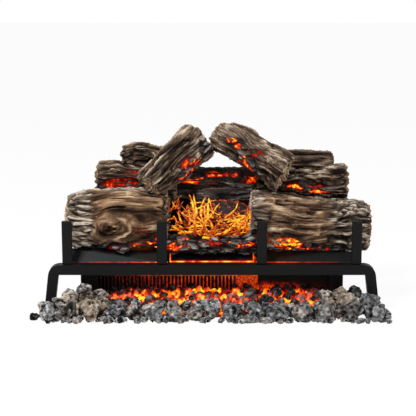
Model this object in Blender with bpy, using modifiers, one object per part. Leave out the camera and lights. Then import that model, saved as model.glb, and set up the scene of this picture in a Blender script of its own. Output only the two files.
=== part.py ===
"""Electric fireplace log set: steel grate, moulded logs, ember bed, hearth rocks and heater base.

Metres, +Z up. +X is to the right of someone facing the set and +Y points away from them.
The floor is Z = 0, and the origin is on it, under the middle of the whole set.
"""

import math
import random

import bmesh
import bpy
from mathutils import Matrix, Vector, noise

# Overall sizes
OVERALL_WIDTH = 0.680
OVERALL_DEPTH = 0.305
CLEARANCE = 0.0003
CUT_OVERRUN = 0.006
SHEET_THICKNESS = 0.0012

# Heater base
BASE_WIDTH = 0.503
BASE_DEPTH = 0.180
BASE_HEIGHT = 0.100
BASE_FOOT_HEIGHT = 0.006
BASE_FOOT_RADIUS = 0.014
BASE_FOOT_INSET = 0.030
PAN_WALL_HEIGHT = 0.012
PANEL_FLANGE = 0.009
DECK_LIP = 0.010

# Warm-air outlet at the front of the base
OUTLET_WIDTH = 0.266
OUTLET_LEFT_INSET = 0.0325
OUTLET_BOTTOM = 0.022
OUTLET_TOP = 0.058
SLOT_COUNT = 38
SLOT_WIDTH = 0.0044
SLOT_PITCH = 0.0070
LIGHT_PANEL_WIDTH = 0.038
LIGHT_PANEL_THICKNESS = 0.003
BLANK_PANEL_RECESS = 0.010
BLANK_PANEL_MARGIN = 0.024
RECEIVER_RADIUS = 0.004
RECEIVER_HEIGHT = 0.030
RECEIVER_FROM_MARGIN = 0.014
RECEIVER_PROUD = 0.0015
RECEIVER_DEPTH = 0.006
REAR_PANEL_INSET = 0.004
LOUVRE_COUNT = 12
LOUVRE_PITCH = 0.020
LOUVRE_WIDTH = 0.005
LOUVRE_HEIGHT = 0.050

# Sloped apron plates between the logs and the rail
APRON_WIDTH = 0.520
APRON_DROP = 0.016
APRON_REACH = 0.018
APRON_CENTER_WIDTH = 0.160
APRON_SEAM = 0.004
APRON_FLANGE = 0.008

# Grate
GRATE_BAR = 0.019
GRATE_REACH = 0.035
RAIL_TOP = 0.090
RAIL_SPAN = 0.579
RAIL_BEND_RADIUS = 0.012
LEG_SPLAY_DEG = 7.0
UPRIGHT_HEIGHT = 0.083
UPRIGHT_DEPTH = 0.008
OUTER_UPRIGHT_INSET = 0.0175
INNER_UPRIGHT_SPACING = 0.188
BAR_EDGE = 0.0012
TIE_SPACING = 0.460
TIE_HEIGHT = 0.086
TIE_WIDTH = 0.016
TIE_THICKNESS = 0.003
TIE_FOOT_HEIGHT = 0.014

# Fan and heater inside the base
FAN_WHEEL_RADIUS = 0.026
FAN_WHEEL_LENGTH = 0.200
FAN_BLADE_COUNT = 14
FAN_BLADE_DEPTH = 0.0075
FAN_BLADE_THICKNESS = 0.0010
FAN_DISC_THICKNESS = 0.0016
FAN_SHAFT_RADIUS = 0.003
FAN_RUNNING_GAP = 0.003
FAN_END_GAP = 0.004
FAN_HOUSING_WALL = 0.0015
FAN_REAR_INSET = 0.062
FAN_MOTOR_RADIUS = 0.024
FAN_MOTOR_LENGTH = 0.034
FAN_MOTOR_BOSS_RADIUS = 0.008
FAN_MOTOR_BOSS_LENGTH = 0.004
FAN_CASE_REACH = 0.004
FAN_SCROLL_GROWTH = 0.008
FAN_TONGUE_DEG = 165.0
FAN_FOOT_WIDTH = 0.008
FAN_SHAFT_STUB = 0.004
ELEMENT_DEPTH = 0.012
ELEMENT_FIN_COUNT = 18
ELEMENT_FIN_THICKNESS = 0.0012
ELEMENT_BAR_HEIGHT = 0.005
CUTOUT_RADIUS = 0.007
CUTOUT_THICKNESS = 0.006
CONTROL_BOARD_LENGTH = 0.110
CONTROL_BOARD_DEPTH = 0.080
CIRCUIT_BOARD_THICKNESS = 0.0016
BOARD_STANDOFF = 0.006
BOARD_CHIP_HEIGHT = 0.010
CONTROL_BOARD_LEFT = 0.100
CONTROL_BOARD_SETBACK = 0.0295
DRIVER_GAP = 0.008
DRIVER_LENGTH = 0.070
DRIVER_DEPTH = 0.034
DRIVER_HEIGHT = 0.024

# Flame projector behind the logs
PROJECTOR_WIDTH = 0.440
PROJECTOR_DEPTH = 0.080
PROJECTOR_HEIGHT = 0.080
PROJECTOR_WALL = 0.002
WINDOW_WIDTH = 0.380
WINDOW_HEIGHT = 0.046
WINDOW_THICKNESS = 0.002
SPINDLE_RADIUS = 0.003
SPINDLE_INSERT = 0.008
SPINDLE_FREE_END = 0.020
FLAG_COUNT = 12
FLAG_LENGTH = 0.020
FLAG_WIDTH = 0.018
FLAG_THICKNESS = 0.0008
FLAG_TWIST_DEG = 26.0
FLAG_TURN_DEG = 137.5
SPINDLE_MOTOR_RADIUS = 0.018
SPINDLE_MOTOR_LENGTH = 0.020
BUSH_RADIUS = 0.008
BUSH_LENGTH = 0.012
FLAME_BOARD_LENGTH = 0.340
FLAME_BOARD_DEPTH = 0.014
LED_SIZE = 0.005
LED_HEIGHT = 0.0018
LED_PITCH = 0.030
LOG_BOARD_LENGTH = 0.110
LOG_BOARD_DEPTH = 0.018
LOG_BOARD_SETBACK = 0.0855

# Power rocker on the right side of the base
ROCKER_LENGTH = 0.024
ROCKER_WIDTH = 0.014
ROCKER_END_DEG = 24.0
ROCKER_DIP = 0.0012
ROCKER_PROUD = 0.002
ROCKER_GAP = 0.0005
ROCKER_PIN_RADIUS = 0.0012
ROCKER_HEIGHT = 0.058
ROCKER_FROM_FRONT = 0.045
BEZEL_RIM = 0.003
BEZEL_THICKNESS = 0.002
BEZEL_DEPTH = 0.014
BEZEL_WALL = 0.0018

# Cord gland in the rear panel
GLAND_RADIUS = 0.008
GLAND_BORE_RADIUS = 0.0045
GLAND_LENGTH = 0.012
GLAND_LIP = 0.003
GLAND_FROM_SIDE = 0.050
GLAND_HEIGHT = 0.035

# Logs
STACK_WIDTH = 0.580
STACK_DEPTH = 0.160
STACK_HEIGHT = 0.240
LOG_FRONT_GAP = 0.003
LOG_LUMP_SIZE = 0.030
LOG_SIDES = 14
LOG_FACET_WIDTH = 0.0125
LOG_RINGS = 11
LOG_RIDGE_LENGTH = 0.090
LOG_RIDGE_WIDTH = 0.014
LOG_RIDGE_HEIGHT = 0.006
END_TAPER_SHARE = 0.95

# Ember bed, nest and rocks
NEST_X = 0.017
NEST_SETBACK = 0.0355
NEST_RISE = 0.0597
NEST_WIDTH = 0.150
NEST_DEPTH = 0.066
NEST_HEIGHT = 0.074
TWIG_REACH_SHARE = 0.98
EMBER_CHANNEL_HEIGHT = 0.008
BED_WIDTH = 0.410
BED_REAR_HEIGHT = 0.034
BED_FRONT_HEIGHT = 0.016
BED_LUMP_HEIGHT = 0.009
BED_LUMP_SIZE = 0.013
BED_SIDE_ROUND = 0.022
BED_SIDE_DROP_SHARE = 0.3
BED_GAP = 0.001
EMBER_BOARD_LENGTH = 0.320
EMBER_BOARD_DEPTH = 0.016
NEST_TWIG_RADIUS = 0.0035
NEST_TWIG_COUNT = 13
ROCK_STRIP_DEPTH = 0.040
ROCK_SIZE = 0.039
ROCK_GAP = 0.0004
ROCK_STEP_SHARE = 0.86
ROCK_SPARE_ROW_SHARE = 0.15
ROCK_ROUGHNESS_SHARE = 0.16
ROCK_JITTER_SHARE = 0.12
ROCK_LIFT_SHARES = (0.55, 0.85)
SMALL_ROCK_SHARE = 0.72
SMALL_ROCK_LIFT_SHARE = 1.2
HEAP_CORE_INSET_SHARE = 0.55
HEAP_CORE_HEIGHT_SHARE = 0.8
REAR_ROCK_INSET_SHARE = 0.33

# Places worked out from the sizes above
REAR_Y = OVERALL_DEPTH / 2
FRONT_Y = -OVERALL_DEPTH / 2
BASE_FRONT_Y = REAR_Y - BASE_DEPTH
BASE_TOP = BASE_FOOT_HEIGHT + BASE_HEIGHT
GRATE_Y = BASE_FRONT_Y - GRATE_REACH
OUTER_UPRIGHT_X = RAIL_SPAN / 2 - OUTER_UPRIGHT_INSET
INNER_UPRIGHT_X = INNER_UPRIGHT_SPACING / 2
TIE_X = TIE_SPACING / 2
UPRIGHT_REAR_Y = GRATE_Y + UPRIGHT_DEPTH / 2
PROJECTOR_FRONT_Y = REAR_Y - PROJECTOR_DEPTH
PROJECTOR_BOTTOM = BASE_TOP + CLEARANCE
PROJECTOR_TOP = PROJECTOR_BOTTOM + PROJECTOR_HEIGHT
STACK_FRONT_Y = UPRIGHT_REAR_Y + LOG_FRONT_GAP
STACK_BOTTOM = BASE_TOP + CLEARANCE
OUTLET_LEFT = -BASE_WIDTH / 2 + OUTLET_LEFT_INSET
OUTLET_RIGHT = OUTLET_LEFT + OUTLET_WIDTH
GLAND_X = BASE_WIDTH / 2 - GLAND_FROM_SIDE
CONTROL_BOARD_FRONT_Y = BASE_FRONT_Y + CONTROL_BOARD_SETBACK
LOG_BOARD_Y = STACK_FRONT_Y + LOG_BOARD_SETBACK
LOG_BOARD_REAR_Y = LOG_BOARD_Y + LOG_BOARD_DEPTH / 2
NEST_Y = STACK_FRONT_Y + NEST_SETBACK
NEST_Z = STACK_BOTTOM + NEST_RISE


def clear_scene():
    for item in list(bpy.data.objects):
        bpy.data.objects.remove(item)


clear_scene()
PARTS = bpy.data.collections.new("electric_log_set")
CUTTERS = bpy.data.collections.new("cutters")
bpy.context.scene.collection.children.link(PARTS)
bpy.context.scene.collection.children.link(CUTTERS)
MATERIALS = {}


def material(name, colour, roughness, metallic=0.0):
    """One Principled material, kept by name so that alike pieces share it."""
    made = bpy.data.materials.new(name)
    made.use_nodes = True
    shader = made.node_tree.nodes["Principled BSDF"]
    shader.inputs["Base Color"].default_value = (*colour, 1.0)
    shader.inputs["Roughness"].default_value = roughness
    shader.inputs["Metallic"].default_value = metallic
    MATERIALS[name] = made


def make_materials():
    material("black_steel", (0.022, 0.022, 0.023), 0.45, 0.6)
    material("galvanised", (0.42, 0.43, 0.44), 0.4, 0.9)
    material("amber_resin", (0.80, 0.22, 0.03), 0.35)
    material("smoked_window", (0.10, 0.06, 0.05), 0.1)
    material("black_plastic", (0.02, 0.02, 0.02), 0.4)
    material("white_plastic", (0.75, 0.74, 0.70), 0.4)
    material("heater_fins", (0.60, 0.60, 0.60), 0.5, 0.9)
    material("mirror_flag", (0.80, 0.80, 0.82), 0.1, 1.0)
    material("circuit_board", (0.03, 0.16, 0.08), 0.5)
    material("log_tan", (0.34, 0.25, 0.16), 0.85)
    material("log_grey", (0.24, 0.22, 0.20), 0.9)
    material("log_char", (0.045, 0.040, 0.037), 0.95)
    material("ember_resin", (0.70, 0.16, 0.02), 0.5)
    material("lava_rock", (0.15, 0.15, 0.155), 0.95)


# Helpers that turn meshes and curves into named pieces


def add_object(name, mesh, material_name=None):
    """A piece when it has a material, and otherwise a hidden cutter."""
    item = bpy.data.objects.new(name, mesh)
    if material_name:
        PARTS.objects.link(item)
        mesh.materials.append(MATERIALS[material_name])
    else:
        CUTTERS.objects.link(item)
        item.hide_render = True
        item.display_type = "WIRE"
    return item


def set_origin(item, place):
    """Puts a moving piece's origin on its joint's axis, with its shape left where it is."""
    item.data.transform(Matrix.Translation(-Vector(place)))
    item.location = place


def mesh_from(name, build):
    """A mesh made by a function that fills a bmesh."""
    work = bmesh.new()
    build(work)
    bmesh.ops.recalc_face_normals(work, faces=work.faces)
    mesh = bpy.data.meshes.new(name)
    work.to_mesh(mesh)
    work.free()
    return mesh


def block_mesh(name, low, high):
    """A box between two corners."""
    size = Vector(high) - Vector(low)
    middle = (Vector(high) + Vector(low)) / 2

    def build(work):
        place = Matrix.Translation(middle) @ Matrix.Diagonal((*size, 1.0))
        bmesh.ops.create_cube(work, size=1.0, matrix=place)

    return mesh_from(name, build)


def block(name, low, high, material_name=None):
    return add_object(name, block_mesh(name, low, high), material_name)


AXIS_TURNS = {
    "X": Matrix.Rotation(math.pi / 2, 4, "Y"),
    "Y": Matrix.Rotation(-math.pi / 2, 4, "X"),
    "Z": Matrix.Identity(4),
}


def cone_mesh(name, start, axis, length, radius, end_radius=None, sides=24):
    """A cylinder or cone that runs from start along +axis."""
    last = radius if end_radius is None else end_radius

    def build(work):
        place = Matrix.Translation(start) @ AXIS_TURNS[axis] @ Matrix.Translation((0, 0, length / 2))
        bmesh.ops.create_cone(work, cap_ends=True, segments=sides, radius1=radius, radius2=last,
                              depth=length, matrix=place)

    return mesh_from(name, build)


def round_rod(name, start, axis, length, radius, material_name=None, sides=24):
    item = add_object(name, cone_mesh(name, start, axis, length, radius, None, sides), material_name)
    item.data.shade_smooth()
    item.data.set_sharp_from_angle(angle=math.radians(40))
    return item


def combine(item, other, operation):
    """An exact Boolean between a piece and a cutter."""
    step = item.modifiers.new(operation.lower(), "BOOLEAN")
    step.operation = operation
    step.solver = "EXACT"
    step.object = other


def cut(item, other):
    combine(item, other, "DIFFERENCE")


def join(item, other):
    combine(item, other, "UNION")


def cut_block(item, low, high):
    cut(item, block("cut_" + item.name, low, high))


def join_block(item, low, high):
    join(item, block("boss_" + item.name, low, high))


def sheet(name, profile, axis, start, length, thickness, material_name=None, offset=-1.0):
    """Folded sheet: an open profile drawn across the axis, run along it and given its thickness.

    For axis X the profile's points are (y, z), for axis Y (x, z) and for axis Z (x, y). The metal
    lies to the left of the way the profile is drawn, or to its right with offset 1."""

    def place(point, along):
        first, second = point
        return {"X": (along, first, second), "Y": (first, along, second), "Z": (first, second, along)}[axis]

    def build(work):
        rows = []
        for along in (start, start + length):
            rows.append([work.verts.new(place(point, along)) for point in profile])
        if axis == "Y":
            rows.reverse()
        for index in range(len(profile) - 1):
            work.faces.new((rows[0][index], rows[0][index + 1], rows[1][index + 1], rows[1][index]))

    mesh = bpy.data.meshes.new(name)
    work = bmesh.new()
    build(work)
    work.to_mesh(mesh)
    work.free()
    item = add_object(name, mesh, material_name)
    wall = item.modifiers.new("wall", "SOLIDIFY")
    wall.thickness = thickness
    wall.offset = offset
    wall.use_even_offset = True
    return item


def outline_mesh(name, loops, depth, place):
    """A flat plate from closed outlines, drawn in X and Y and moved by a matrix."""
    curve = bpy.data.curves.new(name, "CURVE")
    curve.dimensions = "2D"
    curve.fill_mode = "BOTH"
    curve.extrude = depth / 2
    for loop in loops:
        spline = curve.splines.new("POLY")
        spline.points.add(len(loop) - 1)
        for point, (across, up) in zip(spline.points, loop):
            point.co = (across, up, 0.0, 1.0)
        spline.use_cyclic_u = True
    drawn = bpy.data.objects.new(name + "_outline", curve)
    PARTS.objects.link(drawn)
    bpy.context.view_layer.update()
    mesh = bpy.data.meshes.new_from_object(drawn.evaluated_get(bpy.context.evaluated_depsgraph_get()))
    bpy.data.objects.remove(drawn)
    work = bmesh.new()
    work.from_mesh(mesh)
    bmesh.ops.remove_doubles(work, verts=work.verts, dist=CLEARANCE / 30)
    bmesh.ops.recalc_face_normals(work, faces=work.faces)
    work.to_mesh(mesh)
    work.free()
    mesh.transform(place)
    mesh.name = name
    return mesh


STAND_UP = Matrix.Rotation(math.pi / 2, 4, "X")


def plate_in_xz(name, loops, middle_y, depth, material_name=None):
    """A plate whose outline is drawn in X and Z."""
    place = Matrix.Translation((0, middle_y, 0)) @ STAND_UP
    return add_object(name, outline_mesh(name, loops, depth, place), material_name)


def rim_chamfer(item, width):
    """A small flat on every sharp edge."""
    step = item.modifiers.new("edge", "BEVEL")
    step.width = width
    step.segments = 1
    step.limit_method = "ANGLE"
    step.angle_limit = math.radians(50)


def comb_cutter(name, left, pitch, count, width, low, high):
    """Evenly spaced upright blocks that cut a row of slots; low and high are (y, z) corners."""

    def build(work):
        for index in range(count):
            middle_x = left + width / 2 + index * pitch
            size = Vector((width, high[0] - low[0], high[1] - low[1]))
            middle = Vector((middle_x, (high[0] + low[0]) / 2, (high[1] + low[1]) / 2))
            place = Matrix.Translation(middle) @ Matrix.Diagonal((*size, 1.0))
            bmesh.ops.create_cube(work, size=1.0, matrix=place)

    return add_object(name, mesh_from(name, build))


# Heater base: pan, sides, rear, deck and the three front panels

INNER_HALF = BASE_WIDTH / 2 - SHEET_THICKNESS - CLEARANCE
PANEL_BOTTOM = BASE_FOOT_HEIGHT + PAN_WALL_HEIGHT + CLEARANCE
PANEL_TOP = BASE_TOP - DECK_LIP - CLEARANCE
PAN_FLOOR = BASE_FOOT_HEIGHT + SHEET_THICKNESS
DECK_UNDERSIDE = BASE_TOP - SHEET_THICKNESS
GRILLE_RIGHT = OUTLET_RIGHT + SLOT_PITCH - SLOT_WIDTH
LIGHT_PANEL_LEFT = GRILLE_RIGHT + CLEARANCE
LIGHT_PANEL_RIGHT = LIGHT_PANEL_LEFT + LIGHT_PANEL_WIDTH
BLANK_PANEL_LEFT = LIGHT_PANEL_RIGHT + CLEARANCE
BLANK_RECESS_RIGHT = INNER_HALF - BLANK_PANEL_MARGIN
RECEIVER_X = BLANK_RECESS_RIGHT - RECEIVER_FROM_MARGIN


def make_base_pan():
    """A tray with a low wall at front and rear, on four pressed feet."""
    wall_top = BASE_FOOT_HEIGHT + PAN_WALL_HEIGHT
    profile = [
        (BASE_FRONT_Y, wall_top),
        (BASE_FRONT_Y, BASE_FOOT_HEIGHT),
        (REAR_Y, BASE_FOOT_HEIGHT),
        (REAR_Y, wall_top),
    ]
    pan = sheet("base_pan", profile, "X", -INNER_HALF, 2 * INNER_HALF, SHEET_THICKNESS, "black_steel")
    foot_height = BASE_FOOT_HEIGHT + SHEET_THICKNESS / 2
    foot_x = BASE_WIDTH / 2 - BASE_FOOT_INSET
    for side in (-1, 1):
        for foot_y in (BASE_FRONT_Y + BASE_FOOT_INSET, REAR_Y - BASE_FOOT_INSET):
            foot = cone_mesh("pressed_foot", (side * foot_x, foot_y, 0), "Z", foot_height,
                             BASE_FOOT_RADIUS - BASE_FOOT_HEIGHT / 2, BASE_FOOT_RADIUS, 16)
            join(pan, add_object("pressed_foot", foot))
    return pan


def make_side_panel(name, side):
    """One end of the base, with a flange under the deck."""
    outer = side * BASE_WIDTH / 2
    top = DECK_UNDERSIDE - CLEARANCE
    profile = [(outer, BASE_FOOT_HEIGHT), (outer, top), (outer - side * PANEL_FLANGE, top)]
    start = BASE_FRONT_Y + SHEET_THICKNESS + CLEARANCE
    length = BASE_DEPTH - 2 * (SHEET_THICKNESS + CLEARANCE)
    offset = -1.0 if side > 0 else 1.0
    return sheet(name, profile, "Y", start, length, SHEET_THICKNESS, "black_steel", offset)


def make_rear_panel():
    """A set-back rear wall with intake louvres and the hole for the cord gland."""
    outer = REAR_Y - REAR_PANEL_INSET
    low = (-INNER_HALF, outer - SHEET_THICKNESS, PAN_FLOOR + CLEARANCE)
    high = (INNER_HALF, outer, DECK_UNDERSIDE - SHEET_THICKNESS - 2 * CLEARANCE)
    panel = block("rear_panel", low, high, "black_steel")
    span = (LOUVRE_COUNT - 1) * LOUVRE_PITCH + LOUVRE_WIDTH
    middle_z = (PAN_FLOOR + DECK_UNDERSIDE) / 2
    slots = comb_cutter("louvre_slots", FAN_MIDDLE_X - span / 2, LOUVRE_PITCH, LOUVRE_COUNT, LOUVRE_WIDTH,
                        (outer - CUT_OVERRUN, middle_z - LOUVRE_HEIGHT / 2),
                        (outer + CUT_OVERRUN, middle_z + LOUVRE_HEIGHT / 2))
    cut(panel, slots)
    bore = cone_mesh("gland_hole", (GLAND_X, outer - CUT_OVERRUN, GLAND_HEIGHT), "Y", 2 * CUT_OVERRUN,
                     GLAND_RADIUS + CLEARANCE)
    cut(panel, add_object("gland_hole", bore))
    return panel


def make_cord_gland():
    """A flanged sleeve through the rear panel; the cord itself is not part of the set."""
    outer = REAR_Y - REAR_PANEL_INSET
    inner_end = outer - SHEET_THICKNESS - CLEARANCE - GLAND_LENGTH
    lip_start = outer + CLEARANCE
    gland = round_rod("cord_gland", (GLAND_X, inner_end, GLAND_HEIGHT), "Y", lip_start - inner_end + GLAND_LIP,
                      GLAND_RADIUS, "black_plastic")
    lip = cone_mesh("gland_lip", (GLAND_X, lip_start, GLAND_HEIGHT), "Y", GLAND_LIP, GLAND_RADIUS + GLAND_LIP)
    join(gland, add_object("gland_lip", lip))
    bore = cone_mesh("gland_bore", (GLAND_X, inner_end - CUT_OVERRUN, GLAND_HEIGHT), "Y",
                     GLAND_LENGTH + 3 * CUT_OVERRUN, GLAND_BORE_RADIUS)
    cut(gland, add_object("gland_bore", bore))
    return gland


def make_top_deck():
    """The plate that carries the logs, folded down at front and rear, with a light slot in it."""
    half = APRON_WIDTH / 2
    profile = [
        (REAR_Y, BASE_TOP - DECK_LIP),
        (REAR_Y, BASE_TOP),
        (BASE_FRONT_Y, BASE_TOP),
        (BASE_FRONT_Y, BASE_TOP - DECK_LIP),
    ]
    deck = sheet("top_deck", profile, "X", -half, 2 * half, SHEET_THICKNESS, "black_steel")
    slot_half = LOG_BOARD_LENGTH / 4
    cut_block(deck, (-slot_half, LOG_BOARD_REAR_Y + CUT_OVERRUN, BASE_TOP - CUT_OVERRUN),
              (slot_half, PROJECTOR_FRONT_Y - CUT_OVERRUN, BASE_TOP + CUT_OVERRUN))
    return deck


def make_outlet_grille():
    """The slotted panel that the warm air leaves by, folded back beside the light panel."""
    profile = [
        (-INNER_HALF, BASE_FRONT_Y),
        (GRILLE_RIGHT, BASE_FRONT_Y),
        (GRILLE_RIGHT, BASE_FRONT_Y + PANEL_FLANGE),
    ]
    grille = sheet("outlet_grille", profile, "Z", PANEL_BOTTOM, PANEL_TOP - PANEL_BOTTOM,
                   SHEET_THICKNESS, "black_steel")
    first_slot = OUTLET_LEFT + (OUTLET_WIDTH - (SLOT_COUNT - 1) * SLOT_PITCH - SLOT_WIDTH) / 2
    slots = comb_cutter("outlet_slots", first_slot, SLOT_PITCH, SLOT_COUNT, SLOT_WIDTH,
                        (BASE_FRONT_Y - CUT_OVERRUN, OUTLET_BOTTOM),
                        (BASE_FRONT_Y + PANEL_FLANGE / 2, OUTLET_TOP))
    cut(grille, slots)
    return grille


def make_light_panel():
    """The plain amber window to the right of the slots."""
    low = (LIGHT_PANEL_LEFT, BASE_FRONT_Y, PANEL_BOTTOM)
    high = (LIGHT_PANEL_RIGHT, BASE_FRONT_Y + LIGHT_PANEL_THICKNESS, PANEL_TOP)
    panel = block("light_panel", low, high, "amber_resin")
    rim_chamfer(panel, LIGHT_PANEL_THICKNESS / 5)
    return panel


def make_blank_panel():
    """The set-back plain panel at the right, with a flat margin at its end."""
    front = BASE_FRONT_Y + SHEET_THICKNESS
    back = BASE_FRONT_Y + BLANK_PANEL_RECESS
    profile = [
        (INNER_HALF, front),
        (BLANK_RECESS_RIGHT, front),
        (BLANK_RECESS_RIGHT, back),
        (BLANK_PANEL_LEFT, back),
        (BLANK_PANEL_LEFT, BASE_FRONT_Y),
    ]
    panel = sheet("blank_panel", profile, "Z", PANEL_BOTTOM, PANEL_TOP - PANEL_BOTTOM,
                  SHEET_THICKNESS, "black_steel")
    hole = cone_mesh("receiver_hole", (RECEIVER_X, back - CUT_OVERRUN, RECEIVER_HEIGHT), "Y",
                     2 * CUT_OVERRUN, RECEIVER_RADIUS + CLEARANCE, None, 16)
    cut(panel, add_object("receiver_hole", hole))
    return panel


def make_receiver_window():
    """The remote control's round receiver window, low in the blank panel."""
    back = BASE_FRONT_Y + BLANK_PANEL_RECESS
    start = back - SHEET_THICKNESS - RECEIVER_PROUD
    return round_rod("receiver_window", (RECEIVER_X, start, RECEIVER_HEIGHT), "Y", RECEIVER_DEPTH,
                     RECEIVER_RADIUS, "smoked_window", 16)


def make_apron(name, left, right):
    """One sloped plate that hangs on the deck's front lip and runs down behind the rail."""
    flange_y = BASE_FRONT_Y - CLEARANCE
    profile = [
        (flange_y, BASE_TOP - APRON_FLANGE),
        (flange_y, BASE_TOP),
        (BASE_FRONT_Y - APRON_REACH, BASE_TOP - APRON_DROP),
    ]
    return sheet(name, profile, "X", left, right - left, SHEET_THICKNESS, "black_steel")


def make_aprons():
    half = APRON_WIDTH / 2
    center_half = APRON_CENTER_WIDTH / 2
    make_apron("apron_left", -half, -center_half - APRON_SEAM)
    make_apron("apron_center", -center_half, center_half)
    make_apron("apron_right", center_half + APRON_SEAM, half)


# Grate: a rail bent down into two legs, four flat uprights and two ties


def rail_side_points(side, radius):
    """Points of one bent edge of the rail, from the rail's level to the floor."""
    middle_x = RAIL_SPAN / 2 - (RAIL_BEND_RADIUS - GRATE_BAR / 2)
    middle_z = RAIL_TOP - GRATE_BAR / 2 - RAIL_BEND_RADIUS
    steps = 6
    points = []
    for step in range(steps + 1):
        turn = math.radians(90 - (90 - LEG_SPLAY_DEG) * step / steps)
        points.append((side * (middle_x + radius * math.cos(turn)), middle_z + radius * math.sin(turn)))
    last_x, last_z = points[-1]
    points.append((last_x + side * last_z * math.tan(math.radians(LEG_SPLAY_DEG)), 0.0))
    return points


def make_grate_rail():
    outer = RAIL_BEND_RADIUS + GRATE_BAR / 2
    inner = RAIL_BEND_RADIUS - GRATE_BAR / 2
    loop = rail_side_points(1, outer) + rail_side_points(1, inner)[::-1]
    loop += rail_side_points(-1, inner) + rail_side_points(-1, outer)[::-1]
    rail = plate_in_xz("grate_rail", [loop], GRATE_Y, GRATE_BAR, "black_steel")
    return rail


def make_uprights():
    """Four flat bars that stand on the rail and hold the logs back."""
    for index, middle_x in enumerate((-OUTER_UPRIGHT_X, -INNER_UPRIGHT_X, INNER_UPRIGHT_X, OUTER_UPRIGHT_X)):
        low = (middle_x - GRATE_BAR / 2, GRATE_Y - UPRIGHT_DEPTH / 2, RAIL_TOP + CLEARANCE)
        high = (middle_x + GRATE_BAR / 2, GRATE_Y + UPRIGHT_DEPTH / 2, RAIL_TOP + UPRIGHT_HEIGHT)
        bar = block(f"grate_upright_{index + 1}", low, high, "black_steel")
        rim_chamfer(bar, BAR_EDGE)


def make_tie(name, middle_x):
    """A bent strap from the rail's back to the front of the base."""
    base_y = BASE_FRONT_Y - CLEARANCE
    rail_y = GRATE_Y + GRATE_BAR / 2 + CLEARANCE
    profile = [(base_y, TIE_HEIGHT - TIE_FOOT_HEIGHT), (base_y, TIE_HEIGHT), (rail_y, TIE_HEIGHT)]
    return sheet(name, profile, "X", middle_x - TIE_WIDTH / 2, TIE_WIDTH, TIE_THICKNESS, "black_steel")


# Cross-flow fan, duct and heating element

FAN_END_PLATE_LEFT = OUTLET_LEFT
FAN_WHEEL_LEFT = FAN_END_PLATE_LEFT + FAN_HOUSING_WALL + FAN_END_GAP
FAN_WHEEL_RIGHT = FAN_WHEEL_LEFT + FAN_WHEEL_LENGTH
FAN_END_PLATE_RIGHT = FAN_WHEEL_RIGHT + FAN_END_GAP + FAN_HOUSING_WALL
FAN_MIDDLE_X = (FAN_WHEEL_LEFT + FAN_WHEEL_RIGHT) / 2
FAN_Y = REAR_Y - FAN_REAR_INSET
FAN_Z = BASE_FOOT_HEIGHT + BASE_HEIGHT / 2
FAN_SCROLL_RADIUS = FAN_WHEEL_RADIUS + FAN_RUNNING_GAP
FAN_CASE_FRONT_Y = FAN_Y - FAN_SCROLL_RADIUS - FAN_CASE_REACH


def fan_point(radius, degrees):
    """A (y, z) point around the fan's axis, counted from the rear towards the top."""
    turn = math.radians(degrees)
    return (FAN_Y + radius * math.cos(turn), FAN_Z + radius * math.sin(turn))


def make_fan_housing():
    """A spiral rear wall, a tongue at the front and two end plates that carry the shaft."""
    steps = 9
    first_turn = 20
    last_turn = -90
    scroll = []
    for step in range(steps + 1):
        share = step / steps
        radius = FAN_SCROLL_RADIUS + FAN_SCROLL_GROWTH * share
        scroll.append(fan_point(radius, first_turn + (last_turn - first_turn) * share))
    scroll.append((FAN_CASE_FRONT_Y, scroll[-1][1]))
    tongue = [fan_point(FAN_SCROLL_RADIUS, FAN_TONGUE_DEG - turn) for turn in (36, 18, 0)]
    tongue.append((FAN_CASE_FRONT_Y, tongue[-1][1]))
    start = FAN_END_PLATE_LEFT + FAN_HOUSING_WALL / 2
    length = FAN_END_PLATE_RIGHT - FAN_END_PLATE_LEFT - FAN_HOUSING_WALL
    housing = sheet("fan_housing", scroll, "X", start, length, FAN_HOUSING_WALL, "galvanised")
    join(housing, sheet("fan_tongue", tongue, "X", start, length, FAN_HOUSING_WALL, None, 1.0))
    bottom = scroll[-1][1] - FAN_HOUSING_WALL
    top = FAN_Z + FAN_SCROLL_RADIUS
    rear = FAN_Y + FAN_SCROLL_RADIUS + FAN_SCROLL_GROWTH
    for left in (FAN_END_PLATE_LEFT, FAN_END_PLATE_RIGHT - FAN_HOUSING_WALL):
        join_block(housing, (left, FAN_CASE_FRONT_Y - FAN_HOUSING_WALL, bottom),
                   (left + FAN_HOUSING_WALL, rear, top))
    bore = cone_mesh("fan_bore", (FAN_END_PLATE_LEFT - CUT_OVERRUN, FAN_Y, FAN_Z), "X",
                     length + 3 * CUT_OVERRUN, FAN_SHAFT_RADIUS + CLEARANCE)
    cut(housing, add_object("fan_bore", bore))
    for foot_x in (FAN_END_PLATE_LEFT, FAN_END_PLATE_RIGHT - FAN_FOOT_WIDTH):
        join_block(housing, (foot_x, FAN_Y - FAN_FOOT_WIDTH, PAN_FLOOR + CLEARANCE),
                   (foot_x + FAN_FOOT_WIDTH, FAN_Y + FAN_FOOT_WIDTH, bottom + FAN_HOUSING_WALL / 2))
    return housing


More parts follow.
